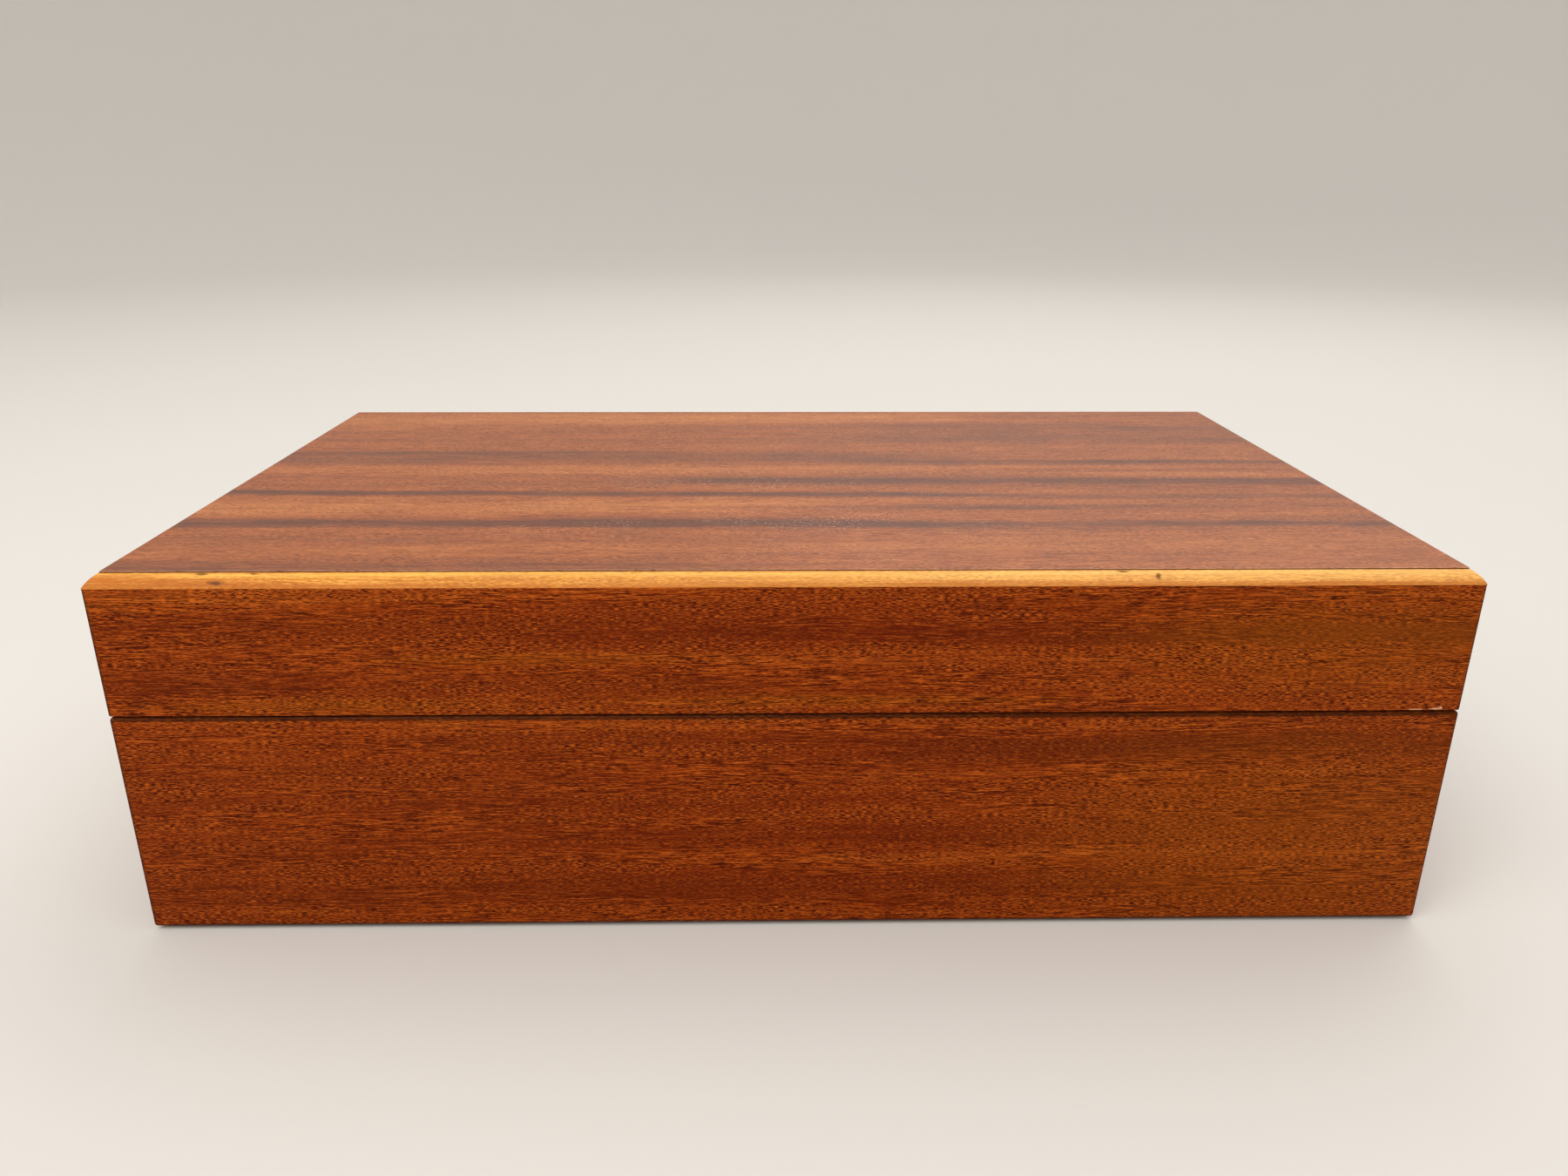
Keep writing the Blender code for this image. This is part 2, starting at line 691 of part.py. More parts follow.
def hygrometer(ceiling, carrier):
    mouth = PANEL_UNDERSIDE - SEAT_GAP - CASE_DEPTH
    bore = CASE_RADIUS - CASE_WALL
    fitted = bore - SEAT_GAP
    spacer_level = GLASS_THICKNESS + SEAT_GAP
    dial_level = spacer_level + SPACER_HEIGHT + SEAT_GAP
    step_level = dial_level + DIAL_THICKNESS + SEAT_GAP
    back_level = CASE_DEPTH - CASE_BACK

    def at(level):
        return (DIAL_PLACE, 0, mouth + level)

    hole = disc(CASE_RADIUS + SEAT_GAP, CASE_DEPTH + OVERRUN)
    cut(ceiling, cutter("hygrometer_hole_cutter", hole, at(0), carrier))

    seat = bore - CASE_STEP
    cup = turned(
        [
            (0, back_level),
            (seat, back_level),
            (seat, step_level),
            (bore, step_level),
            (bore, 0),
            (CASE_RADIUS, 0),
            (CASE_RADIUS, CASE_DEPTH),
            (0, CASE_DEPTH),
        ]
    )
    case = piece("hygrometer_case", cup, "brass", at(0), carrier, smooth=True)

    glass = disc(fitted, GLASS_THICKNESS)
    piece("hygrometer_glass", glass, "glass", at(0), carrier, smooth=True)
    spacer = washer(fitted - SPACER_WALL, fitted, SPACER_HEIGHT)
    piece("hygrometer_spacer", spacer, "black_plastic", at(spacer_level), carrier, smooth=True)
    dial = washer(SPINDLE_RADIUS + SEAT_GAP, fitted, DIAL_THICKNESS)
    piece("hygrometer_dial", dial, "dial_card", at(dial_level), carrier, smooth=True)

    skirt = CASE_RADIUS + SEAT_GAP
    rim = skirt + BEZEL_SKIRT_WALL
    low = -SEAT_GAP - BEZEL_FLANGE
    lip = fitted - BEZEL_LIP
    bezel = turned(
        [
            (lip, -SEAT_GAP),
            (skirt, -SEAT_GAP),
            (skirt, BEZEL_SKIRT_HEIGHT),
            (rim, BEZEL_SKIRT_HEIGHT),
            (rim, low + BEZEL_ROUND),
            (rim - BEZEL_ROUND / 2, low + BEZEL_ROUND / 4),
            (rim - BEZEL_ROUND, low),
            (lip + BEZEL_ROUND, low),
        ]
    )
    piece("hygrometer_bezel", bezel, "brass", at(0), carrier, smooth=True)
    coil(case, at, dial_level + DIAL_THICKNESS, back_level, carrier)
    needle(at, dial_level, back_level, carrier)


def coil(case, at, low, high, carrier):
    """A flat spiral strip round the spindle, its outer end at a post in the case."""
    start = SPINDLE_RADIUS + SEAT_GAP + COIL_STRIP / 2
    level = (low + high - COIL_HEIGHT) / 2
    steps = round(COIL_TURNS * COIL_FACETS)
    shape = bmesh.new()
    rings = []
    for step in range(steps + 1):
        turn = 2 * pi * step / COIL_FACETS
        middle = start + COIL_PITCH * turn / (2 * pi)
        corners = (
            (middle - COIL_STRIP / 2, 0),
            (middle + COIL_STRIP / 2, 0),
            (middle + COIL_STRIP / 2, COIL_HEIGHT),
            (middle - COIL_STRIP / 2, COIL_HEIGHT),
        )
        rings.append(
            [shape.verts.new((r * cos(turn), r * sin(turn), z)) for r, z in corners]
        )
    for ring, following in zip(rings, rings[1:]):
        for corner in range(len(ring)):
            near = (ring[corner - 1], ring[corner])
            shape.faces.new((*near, following[corner], following[corner - 1]))
    shape.faces.new(rings[0])
    shape.faces.new(rings[-1])
    bmesh.ops.recalc_face_normals(shape, faces=shape.faces)
    piece("hygrometer_coil", shape, "brass", at(level), carrier)

    turn = 2 * pi * COIL_TURNS
    out = start + COIL_PITCH * COIL_TURNS + COIL_STRIP / 2 + SEAT_GAP + POST_RADIUS
    post = disc(POST_RADIUS, high - level + CASE_BACK / 2, SCREW_FACETS)
    spot = Vector(at(level)) + Vector((out * cos(turn), out * sin(turn), 0))
    cut(case, cutter("hygrometer_post", post, spot, carrier), operation="UNION")


def needle(at, dial_level, back_level, carrier):
    """A pointer on its spindle, both turning about the middle of the dial."""
    axis = empty("needle_axis", at(dial_level), carrier)
    level = dial_level - NEEDLE_RISE
    waist = asin(NEEDLE_HALF_WIDTH / HUB_RADIUS)
    right = arc(HUB_RADIUS, pi / 2 - waist, waist - pi / 2, COIL_FACETS // 2)
    left = arc(HUB_RADIUS, 3 * pi / 2 - waist, pi / 2 + waist, COIL_FACETS // 2)
    tail = (NEEDLE_HALF_WIDTH, -NEEDLE_TAIL), (-NEEDLE_HALF_WIDTH, -NEEDLE_TAIL)
    outline = [(0, NEEDLE_LENGTH), *right, *tail, *left]
    pointer = drawn([(x, -y, 0) for x, y in outline], (0, 0, NEEDLE_THICKNESS))
    turn = (0, 0, NEEDLE_TURN)
    hand = piece("hygrometer_needle", pointer, "black_enamel", at(level), axis, turn)
    hole = disc(SPINDLE_RADIUS + SEAT_GAP, NEEDLE_THICKNESS + 2 * SEAT_GAP, SCREW_FACETS)
    spot = at(level - SEAT_GAP)
    cut(hand, cutter("hygrometer_needle_hole_cutter", hole, spot, axis))

    low = level - SPINDLE_END
    rod = disc(SPINDLE_RADIUS, back_level - SEAT_GAP - low, SCREW_FACETS)
    piece("hygrometer_spindle", rod, "steel", at(low), axis, smooth=True)


def main():
    clear_scene()
    make_finishes()
    base = empty("base", (0, 0, 0))
    lid = empty("lid_axis", (0, AXIS_Y, AXIS_Z), base)

    base_sides = base_walls(base)
    base_bottom(base)
    base_pad(base)
    base_cedar(base)

    lid_sides = lid_walls(lid)
    lid_panel(lid)
    lid_veneer(lid)
    lipping(lid)
    ceiling = lid_cedar(lid)

    relief = back_relief()
    for sides in (base_sides, lid_sides):
        for side in ("left", "back", "right"):
            cut(sides[side], relief)
    screw = screw_mesh()
    boards = (base_sides["back"], lid_sides["back"])
    out = BOX_WIDTH / 2 - HINGE_FROM_END
    for side, x in (("left", -out), ("right", out)):
        hinge(side, x, boards, screw, base, lid)

    divider(base)
    humidifier(lid)
    hygrometer(ceiling, lid)


main()
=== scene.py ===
"""Looks of a cigar humidor: a veneered box with a pale lipping, lined with Spanish cedar.

Lengths are in metres, +X runs along the front, +Y to the back and +Z up. A finish works out
its pattern in millimetres, from where a point lies on the box.
"""

import json
from collections import namedtuple
from math import atan, cos, pi, radians, sin, sqrt, tan

import bmesh
import bpy
from bpy.props import FloatProperty, FloatVectorProperty, IntProperty, PointerProperty
from mathutils import Matrix, Vector


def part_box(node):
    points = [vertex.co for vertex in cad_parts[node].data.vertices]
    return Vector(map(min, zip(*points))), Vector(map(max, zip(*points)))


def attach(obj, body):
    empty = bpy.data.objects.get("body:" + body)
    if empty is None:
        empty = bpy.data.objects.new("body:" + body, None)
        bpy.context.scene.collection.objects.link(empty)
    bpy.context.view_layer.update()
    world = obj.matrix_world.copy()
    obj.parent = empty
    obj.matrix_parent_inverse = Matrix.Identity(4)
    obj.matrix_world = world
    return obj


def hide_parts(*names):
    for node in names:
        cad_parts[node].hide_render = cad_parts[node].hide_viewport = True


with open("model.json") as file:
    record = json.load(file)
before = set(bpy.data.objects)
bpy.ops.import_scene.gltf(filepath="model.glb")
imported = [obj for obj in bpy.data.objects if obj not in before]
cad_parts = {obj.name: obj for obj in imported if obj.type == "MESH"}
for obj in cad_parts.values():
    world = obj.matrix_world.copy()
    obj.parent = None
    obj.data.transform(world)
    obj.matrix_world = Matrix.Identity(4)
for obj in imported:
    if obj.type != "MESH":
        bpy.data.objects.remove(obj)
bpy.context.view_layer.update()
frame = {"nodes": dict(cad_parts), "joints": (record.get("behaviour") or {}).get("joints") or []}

bl_info = {
    "name": "Cigar humidor",
    "version": (1, 0, 0),
    "blender": (4, 5, 0),
    "location": "3D View > Sidebar > Humidor",
    "description": "Dresses the packed humidor: veneer, lipping, cedar, hinges and dial",
    "category": "Object",
}


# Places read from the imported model

def low(node):
    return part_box(node)[0]


def high(node):
    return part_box(node)[1]


def middle(node):
    return (low(node) + high(node)) / 2


def seat(node):
    """Half a node's size, and the middle of its underside."""
    centre = middle(node)
    return (high(node) - low(node)) / 2, Vector((centre.x, centre.y, low(node).z))


HALF_WIDTH = high("base_right").x
HALF_DEPTH = high("base_back").y
BASE_UNDERSIDE = low("base_front").z
BASE_RIM = high("base_front").z
LID_RIM = low("lid_front").z
LID_WALL_TOP = high("lid_front").z
BOX_TOP = high("lid_veneer").z
AXIS = Vector(next(j for j in frame["joints"] if j["name"] == "lid_hinge")["pos_m"])


def inset(node):
    """How far a node's side lies inside the box's."""
    return low(node).x + HALF_WIDTH


# The four sides, each with the quarter turns that bring the front there
SIDES = (("front", 0), ("right", 1), ("back", 2), ("left", 3))

# The least distance between points, a hair's step between surfaces, the air round a hinge in
# its bed, the play between parts that fit together, and how far a cutter runs past its cut
WELD = 0.000004
HAIR = 0.00004
BED_AIR = 0.00008
PLAY = 0.0001
OVERRUN = 0.004


def linear(code):
    """An sRGB colour such as "#804020" as Blender's linear one."""
    parts = [int(code[place : place + 2], 16) / 255 for place in (1, 3, 5)]
    return tuple(
        part / 12.92 if part <= 0.04045 else ((part + 0.055) / 1.055) ** 2.4 for part in parts
    )


def length(name, description, default):
    return FloatProperty(name=name, description=description, default=default, unit="LENGTH")


def colour(name, description, code):
    return FloatVectorProperty(
        name=name, description=description, default=linear(code), subtype="COLOR", min=0, max=1
    )


def share(name, description, default):
    return FloatProperty(
        name=name, description=description, default=default, subtype="FACTOR", min=0, max=1
    )


class HumidorCase(bpy.types.PropertyGroup):
    """Sizes of the veneered case and its lining"""

    corner_round: length("Corner", "Radius of the upright corners", 0.0008)
    foot_round: length("Foot", "Radius of the base's lower edge", 0.0013)
    rim_round: length("Base rim", "Radius of the base's upper edge", 0.0011)
    lid_rim_round: length("Lid rim", "Radius of the lid's lower edge", 0.0004)
    ledge_round: length("Ledge", "Radius of the lid's edge under the lipping", 0.00015)
    joint_line: length("Joint line", "Hairline between glued pieces", 0.00002)
    lipping_step: length("Lipping step", "Ledge outside the lipping", 0.00012)
    sheet_lift: length("Sheet lift", "Height of the top sheet above the lipping", 0.00035)
    lipping_bulge: length("Lipping bulge", "Rise of the lipping's curve over its chord", 0.00035)
    sheet_round: length("Sheet edge", "Radius of the top sheet's edge", 0.00008)
    sheet_corner: length("Sheet corner", "Radius of the top sheet's corners", 0.0004)
    liner_lead: length("Liner lead", "Chamfer that guides the lid over the lip", 0.0008)
    liner_round: length("Liner edge", "Radius of the liner's inner edge", 0.0005)
    floor_round: length("Floor edge", "Radius of the cedar floor's edges", 0.0003)
    divider_round: length("Divider edge", "Radius of the divider's edges", 0.0008)
    pad_round: length("Pad edge", "Radius of the pad's lower edge", 0.0002)
    pad_corner: length("Pad corner", "Radius of the pad's corners", 0.004)
    open_angle: FloatProperty(
        name="Open angle", description="Where the bevelled back edges meet",
        default=radians(95), subtype="ANGLE",
    )


class HumidorWood(bpy.types.PropertyGroup):
    """Colours of the woods and sizes of their grain"""

    veneer_dark: colour("Veneer, dark", "Dark stripes of the ribbon veneer", "#642004")
    veneer_mid: colour("Veneer, middle", "Ground of the ribbon veneer", "#8F3507")
    veneer_light: colour("Veneer, light", "Bright stripes of the ribbon veneer", "#CC661D")
    veneer_pore: colour("Veneer, pores", "Open pores", "#380E02")
    # The top's colours are the same veneer's, made paler and greyer: they paint in the lacquer's
    # sheen
    top_dark: colour("Top, dark", "Dark stripes of the top's veneer", "#5E2A12")
    top_mid: colour("Top, middle", "Ground of the top's veneer", "#A6541C")
    top_light: colour("Top, light", "Bright stripes of the top's veneer", "#D07E3A")
    top_pore: colour("Top, pores", "Pores of the top's veneer", "#4E1E0C")
    lipping_dark: colour("Lipping, dark", "Late wood of the lipping", "#B96A22")
    lipping_mid: colour("Lipping, middle", "Ground of the lipping", "#E89A36")
    lipping_light: colour("Lipping, light", "Early wood of the lipping", "#F8B755")
    lipping_pore: colour("Lipping, pores", "Short pores of the lipping", "#9C4C10")
    cedar_dark: colour("Cedar, dark", "Late wood of the cedar", "#9A5636")
    cedar_mid: colour("Cedar, middle", "Ground of the cedar", "#C07E55")
    cedar_light: colour("Cedar, light", "Early wood of the cedar", "#D6A27A")
    cedar_pore: colour("Cedar, pores", "Pores of the cedar", "#6E3D26")
    lacquer_roughness: share("Lacquer", "Roughness of the satin lacquer", 0.36)


class HumidorFittings(bpy.types.PropertyGroup):
    """Sizes of the hinges, the humidifier and the dial"""

    leaf_thickness: length("Leaf", "Thickness of a hinge leaf", 0.0015)
    pin_radius: length("Pin", "Radius of a hinge pin", 0.0010)
    screw_head: length("Screw head", "Radius of a screw's head", 0.0017)
    slot_width: length("Screw slot", "Width of a screw's slot", 0.0005)
    shell_round: length("Shell edge", "Radius of the humidifier's edges", 0.0009)
    shell_corner: length("Shell corner", "Radius of the humidifier's corners", 0.006)
    slot_length: length("Grille slot", "Length of a slot in the grille", 0.034)
    grille_slot_width: length("Grille slot width", "Width of a slot in the grille", 0.0024)
    slots: IntProperty(name="Slots", description="Slots in the grille", default=13, min=1)
    slot_pitch: length("Slot pitch", "Distance between slots", 0.0074)
    numeral_height: length("Numerals", "Height of the dial's numerals", 0.0024)
    foam_round: length("Foam edge", "Chamfer round the foam block", 0.0006)
    keeper_round: length("Keeper edge", "Radius of the steel plate's edges", 0.0002)
    bead: length("Bezel bead", "Radius of the bezel's rounded rim", 0.0009)
    bezel_rim: length("Bezel rim", "Width of the bezel's raised rim", 0.0018)
    bezel_step: length("Bezel step", "Depth of the bezel inside its rim", 0.0004)
    bezel_lip: length("Bezel lip", "How far the bezel overlaps the glass", 0.0014)
    glass_edge: length("Glass edge", "Chamfer round the glass", 0.00015)
    dial_bore: length("Dial bore", "Radius of the hole for the spindle", 0.0008)
    spacer_wall: length("Spacer", "Width of the spacer under the glass", 0.001)
    needle_tip: length("Needle", "Length of the needle from its spindle", 0.0125)
    needle_tail: length("Needle tail", "Length of the needle's tail", 0.0045)
    needle_hub: length("Needle hub", "Radius of the needle's hub", 0.0016)
    scale_film: length("Ink", "Thickness of the dial's printing", 0.00004)


class HumidorStage(bpy.types.PropertyGroup):
    """The camera, the floor and the light"""

    lens: FloatProperty(name="Lens", description="Focal length", default=26.475, unit="CAMERA")
    eye: FloatVectorProperty(
        name="Eye", description="The camera's place", default=(-0.0068, -0.4019, 0.2158),
        subtype="TRANSLATION",
    )
    turn: FloatVectorProperty(
        name="Turn", description="Yaw to the right, pitch down and roll",
        default=(radians(0.970), radians(20.171), radians(0.151)), subtype="EULER",
    )
    floor_colour: colour("Floor", "Plain pale floor", "#D9D3C9")
    key_power: FloatProperty(name="Key", description="Power of the large soft light", default=21)
    back_power: FloatProperty(name="Back", description="Power of the soft light behind", default=10)
    ambient: FloatProperty(name="Ambient", description="Strength of the even light", default=1.05)


# Nodes

def add(tree, kind, inputs=(), **settings):
    """A new node. Settings are its properties, and inputs its sockets by name or number."""
    node = tree.nodes.new(kind)
    for name, value in settings.items():
        setattr(node, name, value)
    live = [socket for socket in node.inputs if socket.enabled]
    for key, value in dict(inputs).items():
        socket = live[key] if isinstance(key, int) else next(s for s in live if s.name == key)
        if isinstance(value, bpy.types.Node):
            value = next(s for s in value.outputs if s.enabled)
        if isinstance(value, bpy.types.NodeSocket):
            tree.links.new(value, socket)
        else:
            socket.default_value = value
    return node


def new_material(name, **shader_values):
    """A material, its tree and its Principled shader, whose sockets are named with _ for a space."""
    material = bpy.data.materials.new(name)
    material.use_nodes = True
    shader = material.node_tree.nodes["Principled BSDF"]
    for label, value in shader_values.items():
        shader.inputs[label.replace("_", " ")].default_value = value
    return material, material.node_tree, shader


def millimetres(tree, along="X", across="Y"):
    """The point on the box in millimetres: along the grain, across it, and the third way."""
    spot = add(tree, "ShaderNodeTexCoord").outputs["Object"]
    parts = add(tree, "ShaderNodeSeparateXYZ", {0: spot}).outputs
    third = next(name for name in "XYZ" if name not in (along, across))
    turned = add(tree, "ShaderNodeCombineXYZ", {0: parts[along], 1: parts[across], 2: parts[third]})
    return add(tree, "ShaderNodeVectorMath", {0: turned, "Scale": 1000}, operation="SCALE")


def blotches(tree, spot, long, wide, detail=2, shift=0):
    """Noise from 0 to 1 whose blotches are that many millimetres long and wide."""
    size = (1 / long, 1 / wide, 1 / wide)
    scaled = add(
        tree, "ShaderNodeMapping", {"Vector": spot, "Location": (shift,) * 3, "Scale": size}
    )
    return add(tree, "ShaderNodeTexNoise", {"Vector": scaled, "Scale": 1, "Detail": detail})


def between(tree, value, start, end, low_value=0, high_value=1):
    """A smooth step from one value to another."""
    return add(
        tree, "ShaderNodeMapRange",
        {0: value, 1: start, 2: end, 3: low_value, 4: high_value},
        interpolation_type="SMOOTHSTEP",
    )


def product(tree, *factors):
    """The factors' product, of which the first may be a node or a number."""
    result = factors[0]
    for factor in factors[1:]:
        result = add(tree, "ShaderNodeMath", {0: result, 1: factor}, operation="MULTIPLY")
    return result


def total(tree, *terms):
    """The terms' sum, of which the first may be a node or a number."""
    result = terms[0]
    for term in terms[1:]:
        result = add(tree, "ShaderNodeMath", {0: result, 1: term}, operation="ADD")
    return result


def blend(tree, factor, first, second):
    """The first colour with as much of the second as the factor says."""
    return add(tree, "ShaderNodeMix", {0: factor, "A": first, "B": second}, data_type="RGBA")


def opaque(colour_value):
    return (*colour_value, 1)


def surface(tree, shader, look=None, rough=None, relief=None):
    """Gives the shader its colour, roughness and relief: a height, its strength and its depth."""
    if relief:
        height, strength, depth = relief
        relief = add(
            tree, "ShaderNodeBump", {"Strength": strength, "Distance": depth, "Height": height}
        )
    for label, node in (("Base Color", look), ("Roughness", rough), ("Normal", relief)):
        if node:
            source = next(socket for socket in node.outputs if socket.enabled)
            tree.links.new(source, shader.inputs[label])


# A wood's grain, in millimetres. A band is a listed stripe: its middle across the
# grain, half its width, how much darker it is, where it starts and ends, and its slant.
Grain = namedtuple(
    "Grain",
    "ribbon ribbon_depth streak streak_depth pore_long pore_wide pore_depth gleam wave ripple"
    " bands",
)
# Marks of one colour. A spot is its middle along and across, its half length and half width.
# A line follows an edge: 0 where it crosses the grain or 1 where it runs with it, its place
# and half width.
Marks = namedtuple("Marks", "spots lines colour strength soft ragged", defaults=(0.6, 1.4))

FRONT_BANDS = (
    (95.5, 6.5, 0.32, -60, 230, 0.0),
    (94.0, 5.5, 0.20, 70, 230, 0.0),
    (98.5, 5.0, 0.14, -230, -60, 0.0),
    (80.5, 5.0, 0.24, -230, 0, 0.01),
    (81.0, 5.5, 0.16, -230, -120, 0.0),
    (88.5, 3.5, -0.08, -230, 60, 0.0),
    (74.0, 4.0, -0.06, -230, 230, 0.0),
    (106.0, 3.0, -0.06, -230, 230, 0.0),
    (59.0, 7.0, 0.30, 20, 230, 0.0),
    (52.0, 3.0, -0.10, -60, 230, 0.0),
    (63.0, 4.0, 0.20, -120, 40, 0.0),
    (43.0, 5.0, 0.16, -230, 60, 0.0),
    (31.0, 6.0, 0.18, -70, 60, 0.0),
    (24.0, 5.0, -0.14, 0, 230, 0.0),
    (14.0, 9.0, 0.15, -230, 120, 0.0),
    (35.0, 60.0, 0.10, -230, 230, 0.0),
)
TOP_BANDS = (
    (22.0, 15.0, 0.28, -230, 60, 0.0),
    (30.0, 4.0, 0.20, -230, -50, 0.0),
    (13.0, 6.0, 0.30, 40, 230, 0.0),
    (2.0, 3.5, 0.20, 90, 230, 0.0),
    (-12.5, 7.5, 0.42, -40, 230, -0.01),
    (-30.0, 5.0, 0.50, -230, 60, -0.02),
    (-33.5, 4.5, 0.26, 40, 230, 0.0),
    (-46.0, 4.5, 0.20, -10, 230, 0.0),
    (-63.5, 7.5, 0.46, -230, 60, -0.015),
    (-64.5, 5.0, 0.24, 60, 230, 0.0),
    (-103.0, 10.0, 0.30, -230, -10, 0.0),
    (66.0, 32.0, 0.20, 30, 230, 0.0),
    (52.0, 5.0, 0.12, -230, 60, 0.0),
    (-45.0, 11.0, -0.26, -230, 20, 0.0),
    (-84.0, 16.0, -0.12, 0, 190, 0.0),
    (3.0, 8.0, -0.20, -230, 30, 0.0),
    (92.0, 16.0, -0.26, -230, 80, 0.0),
)
VENEER_GRAIN = Grain(9, 0.28, 1.0, 0.3, 1.6, 0.17, 0.96, 0.74, 1.6, 0.35, FRONT_BANDS)
TOP_GRAIN = VENEER_GRAIN._replace(
    ribbon=13, ribbon_depth=0.2, streak=1.6, streak_depth=0.2, pore_depth=0.62, gleam=0.42,
    bands=TOP_BANDS
)
SIDE_GRAIN = VENEER_GRAIN._replace(ribbon_depth=0.6, bands=())
LIPPING_GRAIN = Grain(3.0, 0.4, 0.6, 0.6, 1.5, 0.2, 0.6, 0.3, 0.6, 0.2, ())
CEDAR_GRAIN = Grain(14, 0.5, 2.6, 0.4, 2.4, 0.3, 0.45, 0.2, 2.2, 0.2, ())
# Painted shade on the veneer's rounded edges: where the lid meets the base, at the foot and at the
# mitres
MILLI = 1000
PAINTED_EDGE_SHADE = Marks(
    (), (
        (1, BASE_RIM * MILLI - 0.5, 0.95), (1, BASE_UNDERSIDE * MILLI, 1.3),
        (0, HALF_WIDTH * MILLI, 0.8), (0, -HALF_WIDTH * MILLI, 1.1),
    ), "#2E1404", 0.78, 0.7, 0.8,
)
# Pale chips along the sheet's arris, over the lipping
ARRIS = HALF_DEPTH * MILLI - inset("lid_veneer") * MILLI
PALE_ARRIS = Marks(
    (
        (-22.0, -33.4, 2.6, 0.16), (-27.5, -34.6, 1.0, 0.2), (-25.0, -60.5, 1.6, 0.22),
        (-30.0, -48.0, 0.8, 0.2), (6.0, -57.5, 1.2, 0.2), (60.0, -63.0, 0.9, 0.25),
        (-98.0, -57.5, 0.9, 0.25), (-62.0, -62.0, 0.7, 0.25),
    ), ((1, ARRIS, 0.2), (1, -ARRIS, 0.2)), "#E6B48A", 0.65, 0.4, 4.0,
)
# The finish has yellowed more towards the right of the front, and in a few stripes
YELLOWED = Marks(
    (
        (150.0, 30.0, 90.0, 40.0), (160.0, 92.0, 80.0, 18.0), (-130.0, 74.0, 60.0, 2.6),
        (10.0, 75.0, 70.0, 2.2), (-70.0, 88.0, 50.0, 2.4),
    ), (), "#9C5206", 0.4, 0.9,
)
# Splinters off the lid's lower edge
CHIPS = Marks(
    (
        (177.5, 71.3, 2.8, 0.22), (182.5, 71.5, 1.8, 0.4), (184.2, 71.8, 0.6, 0.8),
    ), (), "#DDA680", 0.75, 0.5, 1.8,
)
# The front's middle has stayed redder
REDDER = Marks(((0.0, 30.0, 90.0, 40.0), (0.0, 98.0, 90.0, 18.0)), (), "#7A1E02", 0.24, 0.9)
# A painted highlight along the crest of the lipping's curve
PAINTED_CREST_HIGHLIGHT = Marks((), ((1, 2.8 - HALF_DEPTH * MILLI, 0.8),), "#FFC868", 0.32, 1.2)
# The lipping is paler towards the right
PALER = Marks(((130.0, -108.0, 200.0, 6.0),), (), "#FFDCA0", 0.16, 1.2)
# The lipping's knocks, its worn left end, and painted shade along its lower edge
KNOCKS = Marks(
    (
        (-158.5, -106.8, 1.9, 0.4), (-154.0, -109.0, 2.6, 0.42), (-144.5, -106.8, 1.4, 0.3),
        (90.5, -106.8, 2.2, 0.4), (100.0, -108.0, 0.9, 0.9),
    ), (), "#4A2004", 0.78, 0.9,
)
# Wear at the left end and in spots, with a line of painted shade along the lower edge
WORN_END_AND_EDGE_SHADE = Marks(
    (
        (-184.0, -108.4, 16.0, 1.8), (-160.0, -109.3, 20.0, 1.0), (-135.0, -109.7, 16.0, 0.6),
        (-100.0, -109.8, 20.0, 0.4), (40.0, -109.7, 12.0, 0.4), (150.0, -109.7, 18.0, 0.4),
    ), ((1, -HALF_DEPTH * MILLI, 1.0), (0, -HALF_WIDTH * MILLI, 2.0)), "#B0560E", 0.62, 1.6,
)


def band_tone(tree, along, across, bands):
    """The sum of the bands: below 0 is darker."""
    tones = []
    soft = 38  # how gradually a band starts and ends, in millimetres
    for place, half, depth, start, end, slant in bands:
        slanted = add(
            tree, "ShaderNodeMath", {0: along, 1: -slant, 2: across}, operation="MULTIPLY_ADD"
        )
        off = add(tree, "ShaderNodeMath", {0: slanted, 1: place}, operation="SUBTRACT")
        off = add(tree, "ShaderNodeMath", {0: off}, operation="ABSOLUTE")
        stripe = between(tree, off, half * 0.15, half, -depth, 0)
        starts = between(tree, along, start - soft, start + soft)
        ends = between(tree, along, end - soft, end + soft, 1, 0)
        tones.append(product(tree, stripe, starts, ends))
    return total(tree, *tones) if tones else 0.0


def marks_mask(tree, spot, marks):
    """How much of each point the marks cover, with ragged edges."""
    ragged = product(tree, blotches(tree, spot, 1.6, 0.5, 2), marks.ragged)
    edge = 0.75 + marks.ragged / 2
    parts = add(tree, "ShaderNodeSeparateXYZ", {0: spot}).outputs

    def inside(far):
        rough_far = total(tree, far, ragged)
        return between(tree, rough_far, edge - marks.soft / 2, edge + marks.soft / 2, 1, 0)

    covered = 0.0
    for along, across, half_long, half_wide in marks.spots:
        centred = add(
            tree, "ShaderNodeMapping",
            {
                "Vector": spot,
                "Location": (-along / half_long, -across / half_wide, 0),
                "Scale": (1 / half_long, 1 / half_wide, 0),
            },
        )
        far = add(tree, "ShaderNodeVectorMath", {0: centred}, operation="LENGTH").outputs["Value"]
        covered = total(tree, inside(far), covered)
    for axis, place, half_wide in marks.lines:
        off = total(tree, parts[axis], -place)
        off = add(tree, "ShaderNodeMath", {0: off}, operation="ABSOLUTE")
        covered = total(tree, inside(product(tree, off, 1 / half_wide)), covered)
    return product(tree, add(tree, "ShaderNodeClamp", {0: covered}), marks.strength)


